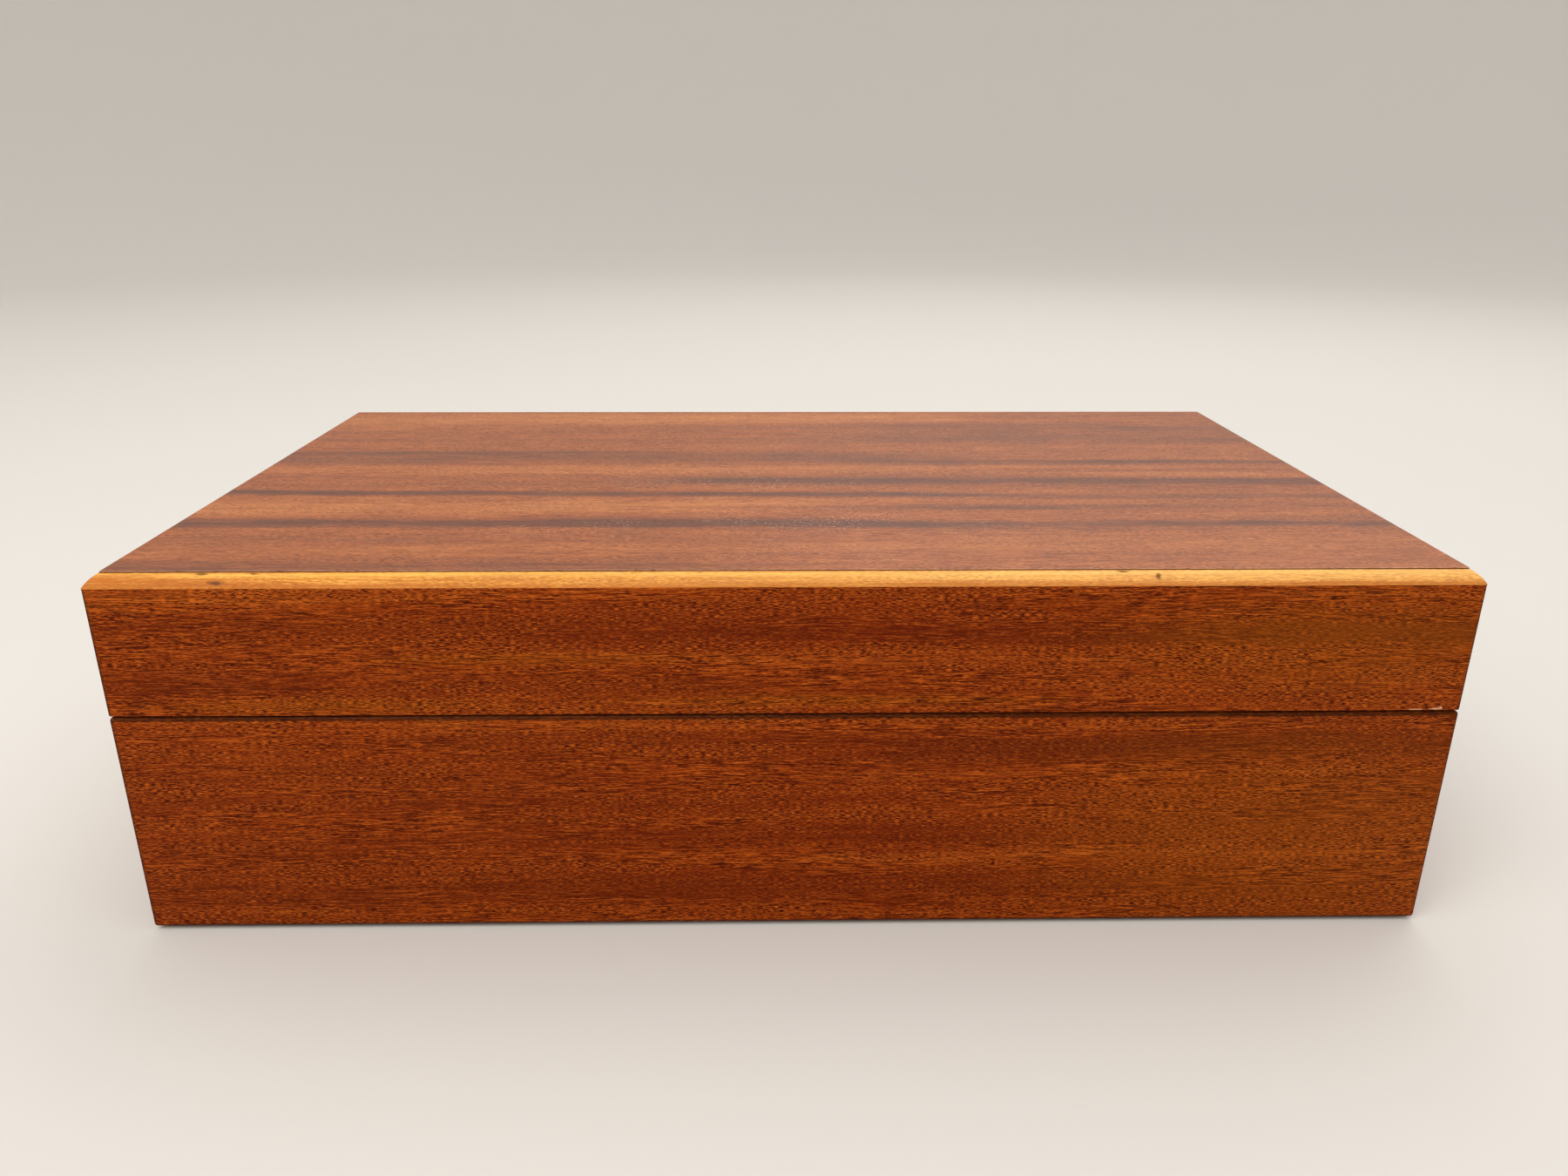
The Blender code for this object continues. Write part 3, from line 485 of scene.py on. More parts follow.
def wood(name, along, across, colours, grain, roughness, gloss=0.5, marks=(), tints=(), dust=False):
    """Timber or veneer: ribbons, streaks and pores that follow one wavy direction."""
    material, tree, shader = new_material(
        name, Roughness=roughness, IOR=1.5, Specular_IOR_Level=gloss
    )
    dark, mid, light, pore = (opaque(value) for value in colours)
    spot = millimetres(tree, along, across)
    parts = add(tree, "ShaderNodeSeparateXYZ", {0: spot}).outputs

    # The rows wander a little, and weave finely in zones where the grain is interlocked
    wave = total(tree, blotches(tree, spot, 46, 15, 1), -0.5)
    weave = total(tree, blotches(tree, spot, 6, 2.4, 1, 7), -0.5)
    zone = between(tree, blotches(tree, spot, 70, 6, 1, 19), 0.38, 0.6)
    drift = total(
        tree, product(tree, wave, 2 * grain.wave),
        product(tree, weave, total(tree, zone, 0.2), 2 * grain.ripple),
    )
    shift = add(tree, "ShaderNodeCombineXYZ", {1: drift})
    rows = add(tree, "ShaderNodeVectorMath", {0: spot, 1: shift}, operation="ADD")
    row_parts = add(tree, "ShaderNodeSeparateXYZ", {0: rows}).outputs

    ribbon = blotches(tree, rows, 240, grain.ribbon, 2, 3)
    streak = blotches(tree, rows, 60, grain.streak, 2, 5)
    fleck = blotches(tree, spot, 16, 9, 2, 11)
    mottle = blotches(tree, rows, 5.5, 1.8, 1, 37)
    bands = band_tone(tree, parts[0], row_parts[1], grain.bands)
    tone = total(
        tree,
        between(tree, ribbon, 0.25, 0.75, -grain.ribbon_depth / 2, grain.ribbon_depth / 2),
        between(tree, streak, 0.25, 0.75, -grain.streak_depth / 2, grain.streak_depth / 2),
        between(tree, fleck, 0.3, 0.7, -0.05, 0.05),
        product(tree, between(tree, mottle, 0.35, 0.65, -0.06, 0.05), zone),
        bands,
        0.5,
    )
    ramp = add(tree, "ShaderNodeValToRGB", {0: tone})
    stops = ramp.color_ramp.elements
    stops[0].position, stops[0].color = 0.05, dark
    stops[1].position, stops[1].color = 0.95, light
    stops.new(0.5).color = mid
    ground = ramp
    for kind in tints:
        ground = blend(tree, marks_mask(tree, spot, kind), ground, opaque(linear(kind.colour)))

    # Pores: short dark dashes in rows, fewer in the dark stripes, with bright wood between
    short = blotches(tree, rows, grain.pore_long, grain.pore_wide, 1, 13)
    long = blotches(tree, rows, 3.5 * grain.pore_long, 1.15 * grain.pore_wide, 1, 31)
    brief = between(tree, zone, 0, 1, 0.45, 0.85)
    dashes = add(tree, "ShaderNodeMix", {0: brief, "A": long, "B": short}, data_type="FLOAT")
    crowd = between(tree, blotches(tree, rows, 34, 5, 1, 17), 0.32, 0.62, 0.75, 1)
    fade = between(tree, tone, 0.05, 0.45, 0.5, 1)
    mask = product(tree, between(tree, dashes, 0.42, 0.55, 1, 0), crowd, fade)
    glow = product(tree, between(tree, dashes, 0.50, 0.64), crowd, fade)
    look = blend(tree, product(tree, glow, grain.gleam), ground, light)
    look = blend(tree, product(tree, mask, grain.pore_depth), look, pore)
    for kind in marks:
        look = blend(tree, marks_mask(tree, spot, kind), look, opaque(linear(kind.colour)))
    if dust:
        look = blend(tree, dust_mask(tree, spot), look, (0.9, 0.72, 0.56, 1))

    height = add(
        tree, "ShaderNodeMath", {0: mask, 1: -1, 2: product(tree, streak, 0.4)},
        operation="MULTIPLY_ADD",
    )
    rough = between(tree, mask, 0, 1, roughness - 0.03, roughness + 0.16)
    surface(tree, shader, look, rough, (height, 0.22, 0.00006))
    return material


def dust_mask(tree, spot):
    """Pale pinpricks in the lacquer, thickest in the middle of the top."""
    near = add(
        tree, "ShaderNodeMapping",
        {"Vector": spot, "Location": (0.1, 0.75, 0), "Scale": (1 / 95, 1 / 62, 0)},
    )
    far = add(tree, "ShaderNodeVectorMath", {0: near}, operation="LENGTH").outputs["Value"]
    flat = add(tree, "ShaderNodeMapping", {"Vector": spot, "Scale": (1 / 2.6, 1 / 1.7, 0)})
    cells = add(
        tree, "ShaderNodeTexVoronoi", {"Vector": flat, "Scale": 1, "Randomness": 1},
        voronoi_dimensions="2D",
    )
    prick = between(tree, cells.outputs["Distance"], 0.04, 0.13, 0.8, 0)
    rare = between(tree, blotches(tree, spot, 26, 17, 2, 23), 0.46, 0.68)
    return product(tree, prick, rare, between(tree, far, 0.2, 1.4, 1, 0.1))


FINISHES = {}


def finish(name):
    """The material of that name, made the first time it is asked for."""
    found = bpy.data.materials.get(name)
    return found or FINISHES[name](name)


def finishes(*names):
    """Says which materials a function makes."""
    def note(function):
        for name in names:
            FINISHES[name] = function
        return function
    return note


def wood_colours(stem):
    """The dark, middle, light and pore colour of a wood, from the panel."""
    woods = bpy.context.scene.humidor_wood
    return [getattr(woods, f"{stem}_{part}") for part in ("dark", "mid", "light", "pore")]


@finishes("sapele_veneer_front")
def sapele_front(name):
    """Quarter-cut sapele veneer under satin lacquer: ribbon stripes and rows of short pores."""
    rough = bpy.context.scene.humidor_wood.lacquer_roughness
    # The edge marks paint shade on the rounded edges; the tints are the finish's yellowing and
    # redder tone
    return wood(
        name, "X", "Z", wood_colours("veneer"), VENEER_GRAIN, rough, 0.04, (PAINTED_EDGE_SHADE, CHIPS),
        (YELLOWED, REDDER),
    )


@finishes("sapele_veneer_end")
def sapele_end(name):
    """The same veneer on the two short sides."""
    rough = bpy.context.scene.humidor_wood.lacquer_roughness
    return wood(name, "Y", "Z", wood_colours("veneer"), SIDE_GRAIN, rough, 0.04)


@finishes("sapele_veneer_top")
def sapele_top(name):
    """The same veneer on the top: broader stripes, in paler, greyer colours that paint in the
    lacquer's sheen.
    """
    rough = bpy.context.scene.humidor_wood.lacquer_roughness
    marks = (PALE_ARRIS,)
    return wood(name, "X", "Y", wood_colours("top"), TOP_GRAIN, rough, 0.5, marks, dust=True)


@finishes("sapele_edge_long", "sapele_edge_short")
def sapele_edge(name):
    """Solid sapele, planed and sealed: the same timber without the matched stripes."""
    along = "X" if name.endswith("long") else "Y"
    across = "Y" if along == "X" else "X"
    return wood(name, along, across, wood_colours("veneer"), SIDE_GRAIN, 0.5, 0.2)


def clouded(name, colours, cells, rough=None, relief=None, rough_cells=None, **shader_values):
    """A finish of two colours in clouds, which its roughness and relief may follow.

    Cells are the clouds' length and width in millimetres, their detail and their shift. Rough
    is where a cloud starts and ends, and the roughness there. Relief is a strength and a depth.
    """
    material, tree, shader = new_material(name, **shader_values)
    spot = millimetres(tree)
    cloud = blotches(tree, spot, *cells)
    look = blend(tree, cloud, *(opaque(linear(code)) for code in colours))
    if rough:
        haze = blotches(tree, spot, *rough_cells) if rough_cells else cloud
        rough = between(tree, haze, *rough)
    surface(tree, shader, look, rough, (cloud, *relief) if relief else None)
    return material


@finishes("dark_veneer_edge")
def veneer_edge(name):
    """The cut edge of the top sheet, painted dark as the shade in the gap above the lipping, over
    cloudy end grain.
    """
    return clouded(
        name, ("#2A0E03", "#6A2C0C"), (2.5, 0.6, 3, 9), Roughness=0.7, Specular_IOR_Level=0.1
    )


@finishes("lipping_long", "lipping_short")
def honey_lipping(name):
    """Pale honey-coloured hardwood lipping, lacquered: fine grain, short pores and knocks."""
    long_way = name.endswith("long")
    along, across = ("X", "Y") if long_way else ("Y", "X")
    # The long strips take a painted highlight on the crest and painted shade along the lower edge,
    # with real knocks and wear
    marks = (PAINTED_CREST_HIGHLIGHT, PALER, WORN_END_AND_EDGE_SHADE, KNOCKS) if long_way else ()
    return wood(name, along, across, wood_colours("lipping"), LIPPING_GRAIN, 0.34, 0.12, marks)


@finishes("cedar_x_flat", "cedar_x_upright", "cedar_y_upright")
def spanish_cedar(name):
    """Spanish cedar, planed and left bare, as it has to be inside: matte, with open pores."""
    along = name.split("_")[1].upper()
    across = "Z" if name.endswith("upright") else "Y"
    return wood(name, along, across, wood_colours("cedar"), CEDAR_GRAIN, 0.72, 0.3)


@finishes("poplar_ply")
def poplar_ply(name):
    """Poplar plywood, unfinished: pale, soft grain and a dry surface."""
    colours = [linear(code) for code in ("#9C7750", "#BE9A70", "#D2B48C", "#7E5C3C")]
    return wood(name, "X", "Y", colours, CEDAR_GRAIN, 0.8)


@finishes("lacquered_brass")
def lacquered_brass(name):
    """Rolled yellow brass, polished and lacquered: soft streaks and a little tarnish."""
    material, tree, shader = new_material(name, Metallic=1, Roughness=0.24)
    spot = millimetres(tree)
    tarnish = between(tree, blotches(tree, spot, 5, 5, 4, 2), 0.45, 0.75)
    look = blend(tree, tarnish, opaque(linear("#D9AE62")), opaque(linear("#A87F3C")))
    streaks = blotches(tree, spot, 9, 0.12, 3, 4)
    rough = total(tree, between(tree, streaks, 0.2, 0.8, 0.16, 0.3), product(tree, tarnish, 0.14))
    surface(tree, shader, look, rough, (streaks, 0.08, 0.00002))
    return material


@finishes("plated_steel")
def plated_steel(name):
    """Zinc-plated mild steel: a bright grey metal with a faint spangle."""
    return clouded(
        name, ("#A9ACAE", "#C6C8C8"), (2.4, 1.8, 3), (0.2, 0.8, 0.24, 0.42), Metallic=1
    )


@finishes("moulded_abs_black")
def moulded_abs(name):
    """Injection-moulded black ABS: a fine spark-eroded texture that dulls the gloss."""
    return clouded(
        name, ("#121213", "#222325"), (0.35, 0.35, 3), (0.3, 0.7, 0.4, 0.52),
        relief=(0.25, 0.00004), rough_cells=(14, 14, 2, 3), IOR=1.53,
    )


@finishes("open_cell_foam")
def open_cell_foam(name):
    """Phenolic foam that holds water: dull green, with open cells under a millimetre wide."""
    material, tree, shader = new_material(name, Roughness=0.95)
    spot = millimetres(tree)
    cells = add(tree, "ShaderNodeTexVoronoi", {"Vector": spot, "Scale": 1.5, "Randomness": 1})
    wall = between(tree, cells.outputs["Distance"], 0.1, 0.6)
    look = blend(tree, wall, opaque(linear("#1E3226")), opaque(linear("#5C7A58")))
    surface(tree, shader, look, relief=(wall, 0.8, 0.0003))
    return material


@finishes("wool_baize_green")
def wool_baize(name):
    """Napped wool baize, dyed dark green: a soft sheen and a mottled, hairy surface."""
    return clouded(
        name, ("#0E1B12", "#26402C"), (0.9, 0.5, 4), relief=(0.7, 0.0002),
        Roughness=0.95, Sheen_Weight=0.4,
    )


@finishes("cream_dial_enamel")
def cream_enamel(name):
    """Cream enamel on a brass dial plate, baked to a soft gloss and a little yellowed."""
    return clouded(name, ("#F0E6C8", "#FAF4E2"), (7, 7, 3), (0.3, 0.7, 0.36, 0.48), IOR=1.5)


@finishes("black_printing_ink", "black_enamel")
def black_paint(name):
    """Black ink or enamel in a thin coat, its gloss a little uneven."""
    return clouded(name, ("#0A0A0B", "#17171A"), (1.4, 1.4, 3), (0.3, 0.7, 0.28, 0.46))


@finishes("flat_dial_glass")
def dial_glass(name):
    """Flat soda-lime glass over the dial: clear, with a faint smear in its polish."""
    material, tree, shader = new_material(
        name, Roughness=0.02, IOR=1.5, Transmission_Weight=1, Base_Color=(0.97, 0.99, 0.98, 1)
    )
    smear = blotches(tree, millimetres(tree), 9, 4, 3)
    surface(tree, shader, rough=between(tree, smear, 0.4, 0.8, 0.01, 0.05))
    return material


# Meshes

def link(name, data):
    """A new object in the scene that shows a mesh, text, lamp or camera."""
    thing = bpy.data.objects.new(name, data)
    bpy.context.scene.collection.objects.link(thing)
    return thing


def as_mesh(name, shape):
    """A mesh of the bmesh, which is freed."""
    mesh = bpy.data.meshes.new(name)
    shape.to_mesh(mesh)
    shape.free()
    return mesh


def plain(thing, name, *helpers):
    """The object as a plain mesh with its modifiers' result. It and its helpers are removed."""
    graph = bpy.context.evaluated_depsgraph_get()
    mesh = bpy.data.meshes.new_from_object(
        thing.evaluated_get(graph), preserve_all_data_layers=True, depsgraph=graph
    )
    for done in (thing, *helpers):
        bpy.data.objects.remove(done, do_unlink=True)
    mesh.name = name
    return mesh


def shaped(mesh, edit=None):
    """Changes a mesh with a bmesh function, then merges doubles and turns faces outwards."""
    shape = bmesh.new()
    shape.from_mesh(mesh)
    if edit:
        edit(shape)
    bmesh.ops.remove_doubles(shape, verts=shape.verts, dist=WELD)
    bmesh.ops.recalc_face_normals(shape, faces=shape.faces)
    shape.to_mesh(mesh)
    shape.free()
    return mesh


def carved(name, mesh, *cutters):
    """The mesh with each cutter's mesh taken away."""
    thing = link(name, mesh)
    tools = [link(f"{name}_cutter_{number}", tool) for number, tool in enumerate(cutters)]
    for tool in tools:
        step = thing.modifiers.new(tool.name, "BOOLEAN")
        step.operation = "DIFFERENCE"
        step.solver = "EXACT"
        step.object = tool
    return plain(thing, name, *tools)


def show(name, mesh, body, slot, *nodes, material=None, sharp=38):
    """The finished piece: smooth where it is round, riding on its body, for its nodes."""
    if material:
        mesh.materials.clear()
        mesh.materials.append(finish(material))
    mesh.shade_smooth()
    mesh.set_sharp_from_angle(angle=radians(sharp))
    thing = link(f"{name}_whole", mesh)
    step = thing.modifiers.new("even_flats", "WEIGHTED_NORMAL")
    step.keep_sharp = True
    piece = link(name, plain(thing, name))
    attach(piece, body)
    if nodes:
        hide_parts(*nodes)
    return piece


def rounded(corners, facets=5):
    """An outline's points from (across, up, radius) corners, with the round ones as arcs."""
    points = []
    for number, (x, y, radius) in enumerate(corners):
        corner = Vector((x, y))
        if not radius:
            points.append(corner)
            continue
        back = (Vector(corners[number - 1][:2]) - corner).normalized()
        on = (Vector(corners[(number + 1) % len(corners)][:2]) - corner).normalized()
        half = back.angle(on) / 2
        centre = corner + (back + on).normalized() * radius / sin(half)
        start = corner + back * radius / tan(half) - centre
        end = corner + on * radius / tan(half) - centre
        sweep = start.angle(end)
        for step in range(facets + 1):
            share_done = step / facets
            first = sin((1 - share_done) * sweep) / sin(sweep)
            second = sin(share_done * sweep) / sin(sweep)
            points.append(centre + start * first + end * second)
    return points


def wire(name, points):
    """A closed outline of edges, laid out for Curve to Mesh to draw along X."""
    mesh = bpy.data.meshes.new(name)
    count = len(points)
    places = [(-across, -up, 0) for across, up in points]
    mesh.from_pydata(places, [(n, (n + 1) % count) for n in range(count)], [])
    return mesh


def swept(name, half_long, half_wide, corner, section, closed=False, facets=8):
    """A section of (inset, height) points taken round a rounded rectangle or a circle.

    An open section is closed by a flat face at each end.
    """
    shape = bmesh.new()
    rings = []
    for inward, level in section:
        radius = max(corner - inward, WELD)
        ring = []
        for quarter, (east, north) in enumerate(((1, 1), (-1, 1), (-1, -1), (1, -1))):
            for step in range(facets + 1):
                turn = (quarter + step / facets) * pi / 2
                x = east * (half_long - max(corner, inward)) + radius * cos(turn)
                y = north * (half_wide - max(corner, inward)) + radius * sin(turn)
                ring.append(shape.verts.new((x, y, level)))
        rings.append(ring)
    pairs = list(zip(rings, rings[1:]))
    if closed:
        pairs.append((rings[-1], rings[0]))
    for ring, following in pairs:
        for number in range(len(ring)):
            near = (ring[number - 1], ring[number])
            shape.faces.new((*near, following[number], following[number - 1]))
    if not closed:
        shape.faces.new(rings[0])
        shape.faces.new(rings[-1])
    return shaped(as_mesh(name, shape))


def turned(name, section, closed=False, facets=24):
    """A lathe-turned mesh from (radius, height) points about Z."""
    widest = max(radius for radius, level in section)
    inward = [(widest - radius, level) for radius, level in section]
    return swept(name, widest, widest, widest, inward, closed, facets)


def block(name, lowest, highest, radius, facets=2):
    """A board between two corners, with its edges eased."""
    shape = bmesh.new()
    bmesh.ops.create_cube(shape, size=1)
    size = Vector(highest) - Vector(lowest)
    bmesh.ops.scale(shape, vec=size, verts=shape.verts)
    bmesh.ops.translate(shape, vec=(Vector(highest) + Vector(lowest)) / 2, verts=shape.verts)
    bmesh.ops.bevel(
        shape, geom=shape.edges, offset=radius, segments=facets, profile=0.5, affect="EDGES"
    )
    return as_mesh(name, shape)


def drawn(name, outline, travel):
    """A flat outline of points drawn along a straight travel."""
    shape = bmesh.new()
    face = shape.faces.new([shape.verts.new(point) for point in outline])
    grown = bmesh.ops.extrude_face_region(shape, geom=[face])["geom"]
    ends = [part for part in grown if isinstance(part, bmesh.types.BMVert)]
    bmesh.ops.translate(shape, verts=ends, vec=travel)
    return shaped(as_mesh(name, shape))


def placed(mesh, place, turn=None):
    """The mesh, turned about the origin and moved to its place."""
    mesh.transform(Matrix.Translation(place) @ (turn or Matrix.Identity(4)))
    return mesh


def joined(name, *meshes):
    """One mesh of several, which are removed."""
    whole = bmesh.new()
    for mesh in meshes:
        whole.from_mesh(mesh)
        bpy.data.meshes.remove(mesh)
    return as_mesh(name, whole)


# Geometry Nodes

def new_tree(name, sockets):
    """A tree with its input and output nodes. Sockets are (name, kind) pairs."""
    tree = bpy.data.node_groups.new(name, "GeometryNodeTree")
    for label, kind in sockets:
        tree.interface.new_socket(label, in_out="INPUT", socket_type=f"NodeSocket{kind}")
    tree.interface.new_socket("Geometry", in_out="OUTPUT", socket_type="NodeSocketGeometry")
    return tree, add(tree, "NodeGroupInput").outputs


def grown(name, tree, mesh, values):
    """The plain mesh that the tree makes from a mesh and from its inputs by name."""
    thing = link(f"{name}_guide", mesh)
    step = thing.modifiers.new(tree.name, "NODES")
    step.node_group = tree
    for socket in tree.interface.items_tree:
        if socket.in_out == "INPUT" and socket.name in values:
            step[socket.identifier] = values[socket.name]
    return plain(thing, name)


def ended(tree, geometry, material):
    """Ends a tree: real meshes, one material, and the output."""
    real = add(tree, "GeometryNodeRealizeInstances", {0: geometry})
    done = add(tree, "GeometryNodeSetMaterial", {0: real, "Material": material})
    add(tree, "NodeGroupOutput", {0: done})
    return tree


def board_tree():
    """A section drawn into a board with mitred ends and rounded outer corners.

    The stations of the sweep all lie in the two corners, at shares of an eighth turn.
    """
    name = "mitred_board"
    if name in bpy.data.node_groups:
        return bpy.data.node_groups[name]
    tree, given = new_tree(name, (
        ("Section", "Geometry"), ("Length", "Float"), ("Corner", "Float"),
        ("Joint", "Float"), ("Face Reach", "Float"), ("Turn", "Float"), ("Place", "Vector"),
        ("Body Finish", "Material"), ("Face Finish", "Material"),
    ))
    stations = 12
    section = add(tree, "GeometryNodeMeshToCurve", {0: given["Section"]})
    path = add(tree, "GeometryNodeCurvePrimitiveLine", {"Start": (-1, 0, 0), "End": (1, 0, 0)})
    path = add(tree, "GeometryNodeResampleCurve", {0: path, "Count": stations})
    sweep = add(
        tree, "GeometryNodeCurveToMesh",
        {"Curve": path, "Profile Curve": section, "Fill Caps": True},
    )
    parts = add(tree, "ShaderNodeSeparateXYZ", {0: add(tree, "GeometryNodeInputPosition")}).outputs
    on_face = add(
        tree, "FunctionNodeCompare", {0: parts["Y"], 1: given["Face Reach"]},
        data_type="FLOAT", operation="LESS_THAN",
    )
    marked = add(
        tree, "GeometryNodeStoreNamedAttribute",
        {0: sweep, "Name": "veneered", "Value": on_face}, data_type="BOOLEAN", domain="FACE",
    )
    side = add(tree, "ShaderNodeMath", {0: parts["X"]}, operation="SIGN")
    size = add(tree, "ShaderNodeMath", {0: parts["X"]}, operation="ABSOLUTE")
    turn = add(
        tree, "ShaderNodeMapRange", {0: size, 1: 1 / (stations - 1), 2: 1, 3: 0, 4: pi / 4}
    )
    room = add(tree, "ShaderNodeMath", {0: given["Corner"], 1: parts["Y"]}, operation="SUBTRACT")
    radius = add(tree, "ShaderNodeMath", {0: room, 1: 0}, operation="MAXIMUM")
    centre = add(tree, "ShaderNodeMath", {0: given["Corner"], 1: parts["Y"]}, operation="MAXIMUM")
    sine = add(tree, "ShaderNodeMath", {0: turn}, operation="SINE")
    cosine = add(tree, "ShaderNodeMath", {0: turn}, operation="COSINE")
    half = product(tree, given["Length"], 0.5)
    out = total(
        tree, half, product(tree, centre, -1), product(tree, radius, sine),
        product(tree, given["Joint"], -1),
    )
    deep = total(tree, centre, product(tree, radius, cosine, -1))
    spot = add(
        tree, "ShaderNodeCombineXYZ", {0: product(tree, side, out), 1: deep, 2: parts["Z"]}
    )
    bent = add(tree, "GeometryNodeSetPosition", {0: marked, "Position": spot})
    welded = add(tree, "GeometryNodeMergeByDistance", {0: bent, "Distance": WELD / 4})
    spin = add(tree, "ShaderNodeCombineXYZ", {2: given["Turn"]})
    moved = add(
        tree, "GeometryNodeTransform",
        {0: welded, "Translation": given["Place"], "Rotation": spin},
    )
    real = add(tree, "GeometryNodeRealizeInstances", {0: moved})
    body = add(tree, "GeometryNodeSetMaterial", {0: real, "Material": given["Body Finish"]})
    veneered = add(tree, "GeometryNodeInputNamedAttribute", {0: "veneered"}, data_type="BOOLEAN")
    done = add(
        tree, "GeometryNodeSetMaterial",
        {0: body, "Selection": veneered, "Material": given["Face Finish"]},
    )
    add(tree, "NodeGroupOutput", {0: done})
    return tree


def four_boards(stem, section, level, corner, faces, bodies=None, reach=0.0):
    """The mitred boards of one frame, as meshes by side. Finishes are (long, short) pairs."""
    boards = {}
    bodies = bodies or faces
    for side, quarter in SIDES:
        long_way = quarter % 2 == 0
        turn = quarter * pi / 2
        across = HALF_DEPTH if long_way else HALF_WIDTH
        name = f"{stem}_{side}_board"
        mesh = grown(name, board_tree(), wire(name, section), {
            "Length": 2 * (HALF_WIDTH if long_way else HALF_DEPTH),
            "Corner": corner,
            "Joint": bpy.context.scene.humidor_case.joint_line,
            "Face Reach": reach,
            "Turn": turn,
            "Place": (across * sin(turn), -across * cos(turn), level),
            "Body Finish": finish(bodies[not long_way]),
            "Face Finish": finish(faces[not long_way]),
        })
        boards[side] = shaped(mesh)
    return boards


def relieved(mesh, up):
    """Takes off what lies behind the hinge axis beyond the bevel that stops the lid."""
    slope = tan(bpy.context.scene.humidor_case.open_angle / 2)

    def saw(shape):
        parts = shape.verts[:] + shape.edges[:] + shape.faces[:]
        cut = bmesh.ops.bisect_plane(
            shape, geom=parts, plane_co=AXIS, plane_no=(0, slope, up), clear_outer=True
        )["geom_cut"]
        rim = [part for part in cut if isinstance(part, bmesh.types.BMEdge)]
        bmesh.ops.holes_fill(shape, edges=rim)

    return shaped(mesh, saw)


# Hinges

def leaf_outline(reach, lowest, highest, radius, facets=28):
    """A flat plate running forward from a round knuckle about the origin, as (y, z) points."""
    start = pi - atan(lowest / sqrt(radius**2 - lowest**2))
    end = 3 * pi - atan(highest / sqrt(radius**2 - highest**2))
    turns = [start + (end - start) * step / facets for step in range(facets + 1)]
    round_part = [(radius * cos(turn), radius * sin(turn)) for turn in turns]
    return [(-reach, highest), (-reach, lowest), *round_part]


def drawn_along_x(name, outline, start, end):
    """An outline of (y, z) points drawn along X."""
    return drawn(name, [(start, y, z) for y, z in outline], (end - start, 0, 0))


def hinge_places():
    """The middle of each hinge's pin, by side."""
    return {side: middle(f"hinge_{side}_pin") for side in ("left", "right")}


def bed_meshes():
    """The two hinge beds, as cutters for the back boards."""
    beds = []
    thickness = bpy.context.scene.humidor_fittings.leaf_thickness
    half = thickness + (LID_RIM - BASE_RIM) / 2 + BED_AIR
    for side, place in hinge_places().items():
        leaf = f"hinge_{side}_base_leaf"
        radius = high(leaf).y - AXIS.y + BED_AIR
        outline = leaf_outline(AXIS.y - low(leaf).y + OVERRUN, -half, half, radius)
        reach = high(leaf).x - place.x + BED_AIR
        beds.append(placed(drawn_along_x(f"{side}_bed", outline, -reach, reach), place))
    return beds


def screw_section(head):
    """Half a countersunk screw's outline, its head flush with z = 0."""
    shank = head * 0.47
    return [
        (WELD, -head * 5.3), (shank, -head * 4.1), (shank, -head * 0.55),
        (head * 0.97, -head * 0.04), (head, 0.0), (head * 0.6, HAIR * 0.75), (WELD, HAIR),
    ]


def screw_tree(prototype, material):
    """A screw on each point, its slot turned at random."""
    tree, given = new_tree(
        "screws_on_points", (("Points", "Geometry"), ("Over", "Float"), ("Seed", "Int"))
    )
    screw = add(tree, "GeometryNodeObjectInfo", {"Object": prototype}).outputs["Geometry"]
    turn = add(
        tree, "FunctionNodeRandomValue", {"Min": 0.0, "Max": pi, "Seed": given["Seed"]},
        data_type="FLOAT",
    )
    spin = add(tree, "ShaderNodeCombineXYZ", {0: given["Over"], 2: turn})
    points = add(tree, "GeometryNodeInstanceOnPoints", {
        "Points": given["Points"], "Instance": screw, "Rotation": spin,
    })
    return ended(tree, points, material)


# Pieces

class HUMIDOR_OT_boards(bpy.types.Operator):
    """Veneered boards of the base and the lid, bevelled at the back and cut for the hinges"""

    bl_idname = "humidor.boards"
    bl_label = "Case boards"

    def execute(self, context):
        case = context.scene.humidor_case
        wall = high("base_front").y - low("base_front").y
        seat = high("base_bottom").z - BASE_UNDERSIDE
        height = BASE_RIM - BASE_UNDERSIDE
        base = rounded([
            (0, 0, case.foot_round), (inset("base_bottom"), 0, 0),
            (inset("base_bottom"), seat, 0), (wall, seat, 0), (wall, height, 0),
            (0, height, case.rim_round),
        ])
        under_panel = low("lid_panel").z - LID_RIM
        top = LID_WALL_TOP - LID_RIM
        ledge = low("lipping_front").z - LID_RIM
        edge = inset("lid_veneer")
        lid = rounded([
            (0, 0, case.lid_rim_round), (wall, 0, 0), (wall, under_panel, 0),
            (inset("lid_panel"), under_panel, 0), (inset("lid_panel"), top, 0), (edge, top, 0),
            (edge, ledge, 0), (0, ledge, case.ledge_round),
        ])
        faces = ("sapele_veneer_front", "sapele_veneer_end")
        edges = ("sapele_edge_long", "sapele_edge_short")
        for stem, section, level, up, reach in (
            ("base", base, BASE_UNDERSIDE, 1, case.foot_round),
            ("lid", lid, LID_RIM, -1, case.lid_rim_round),
        ):
            boards = four_boards(stem, section, level, case.corner_round, faces, edges, reach)
            for side, mesh in boards.items():
                if side != "front":
                    mesh = relieved(mesh, up)
                if side == "back":
                    mesh = carved(mesh.name, mesh, *bed_meshes())
                show(f"{stem}_{side}_board", mesh, stem, "mahogany_veneer", f"{stem}_{side}")
        return {"FINISHED"}


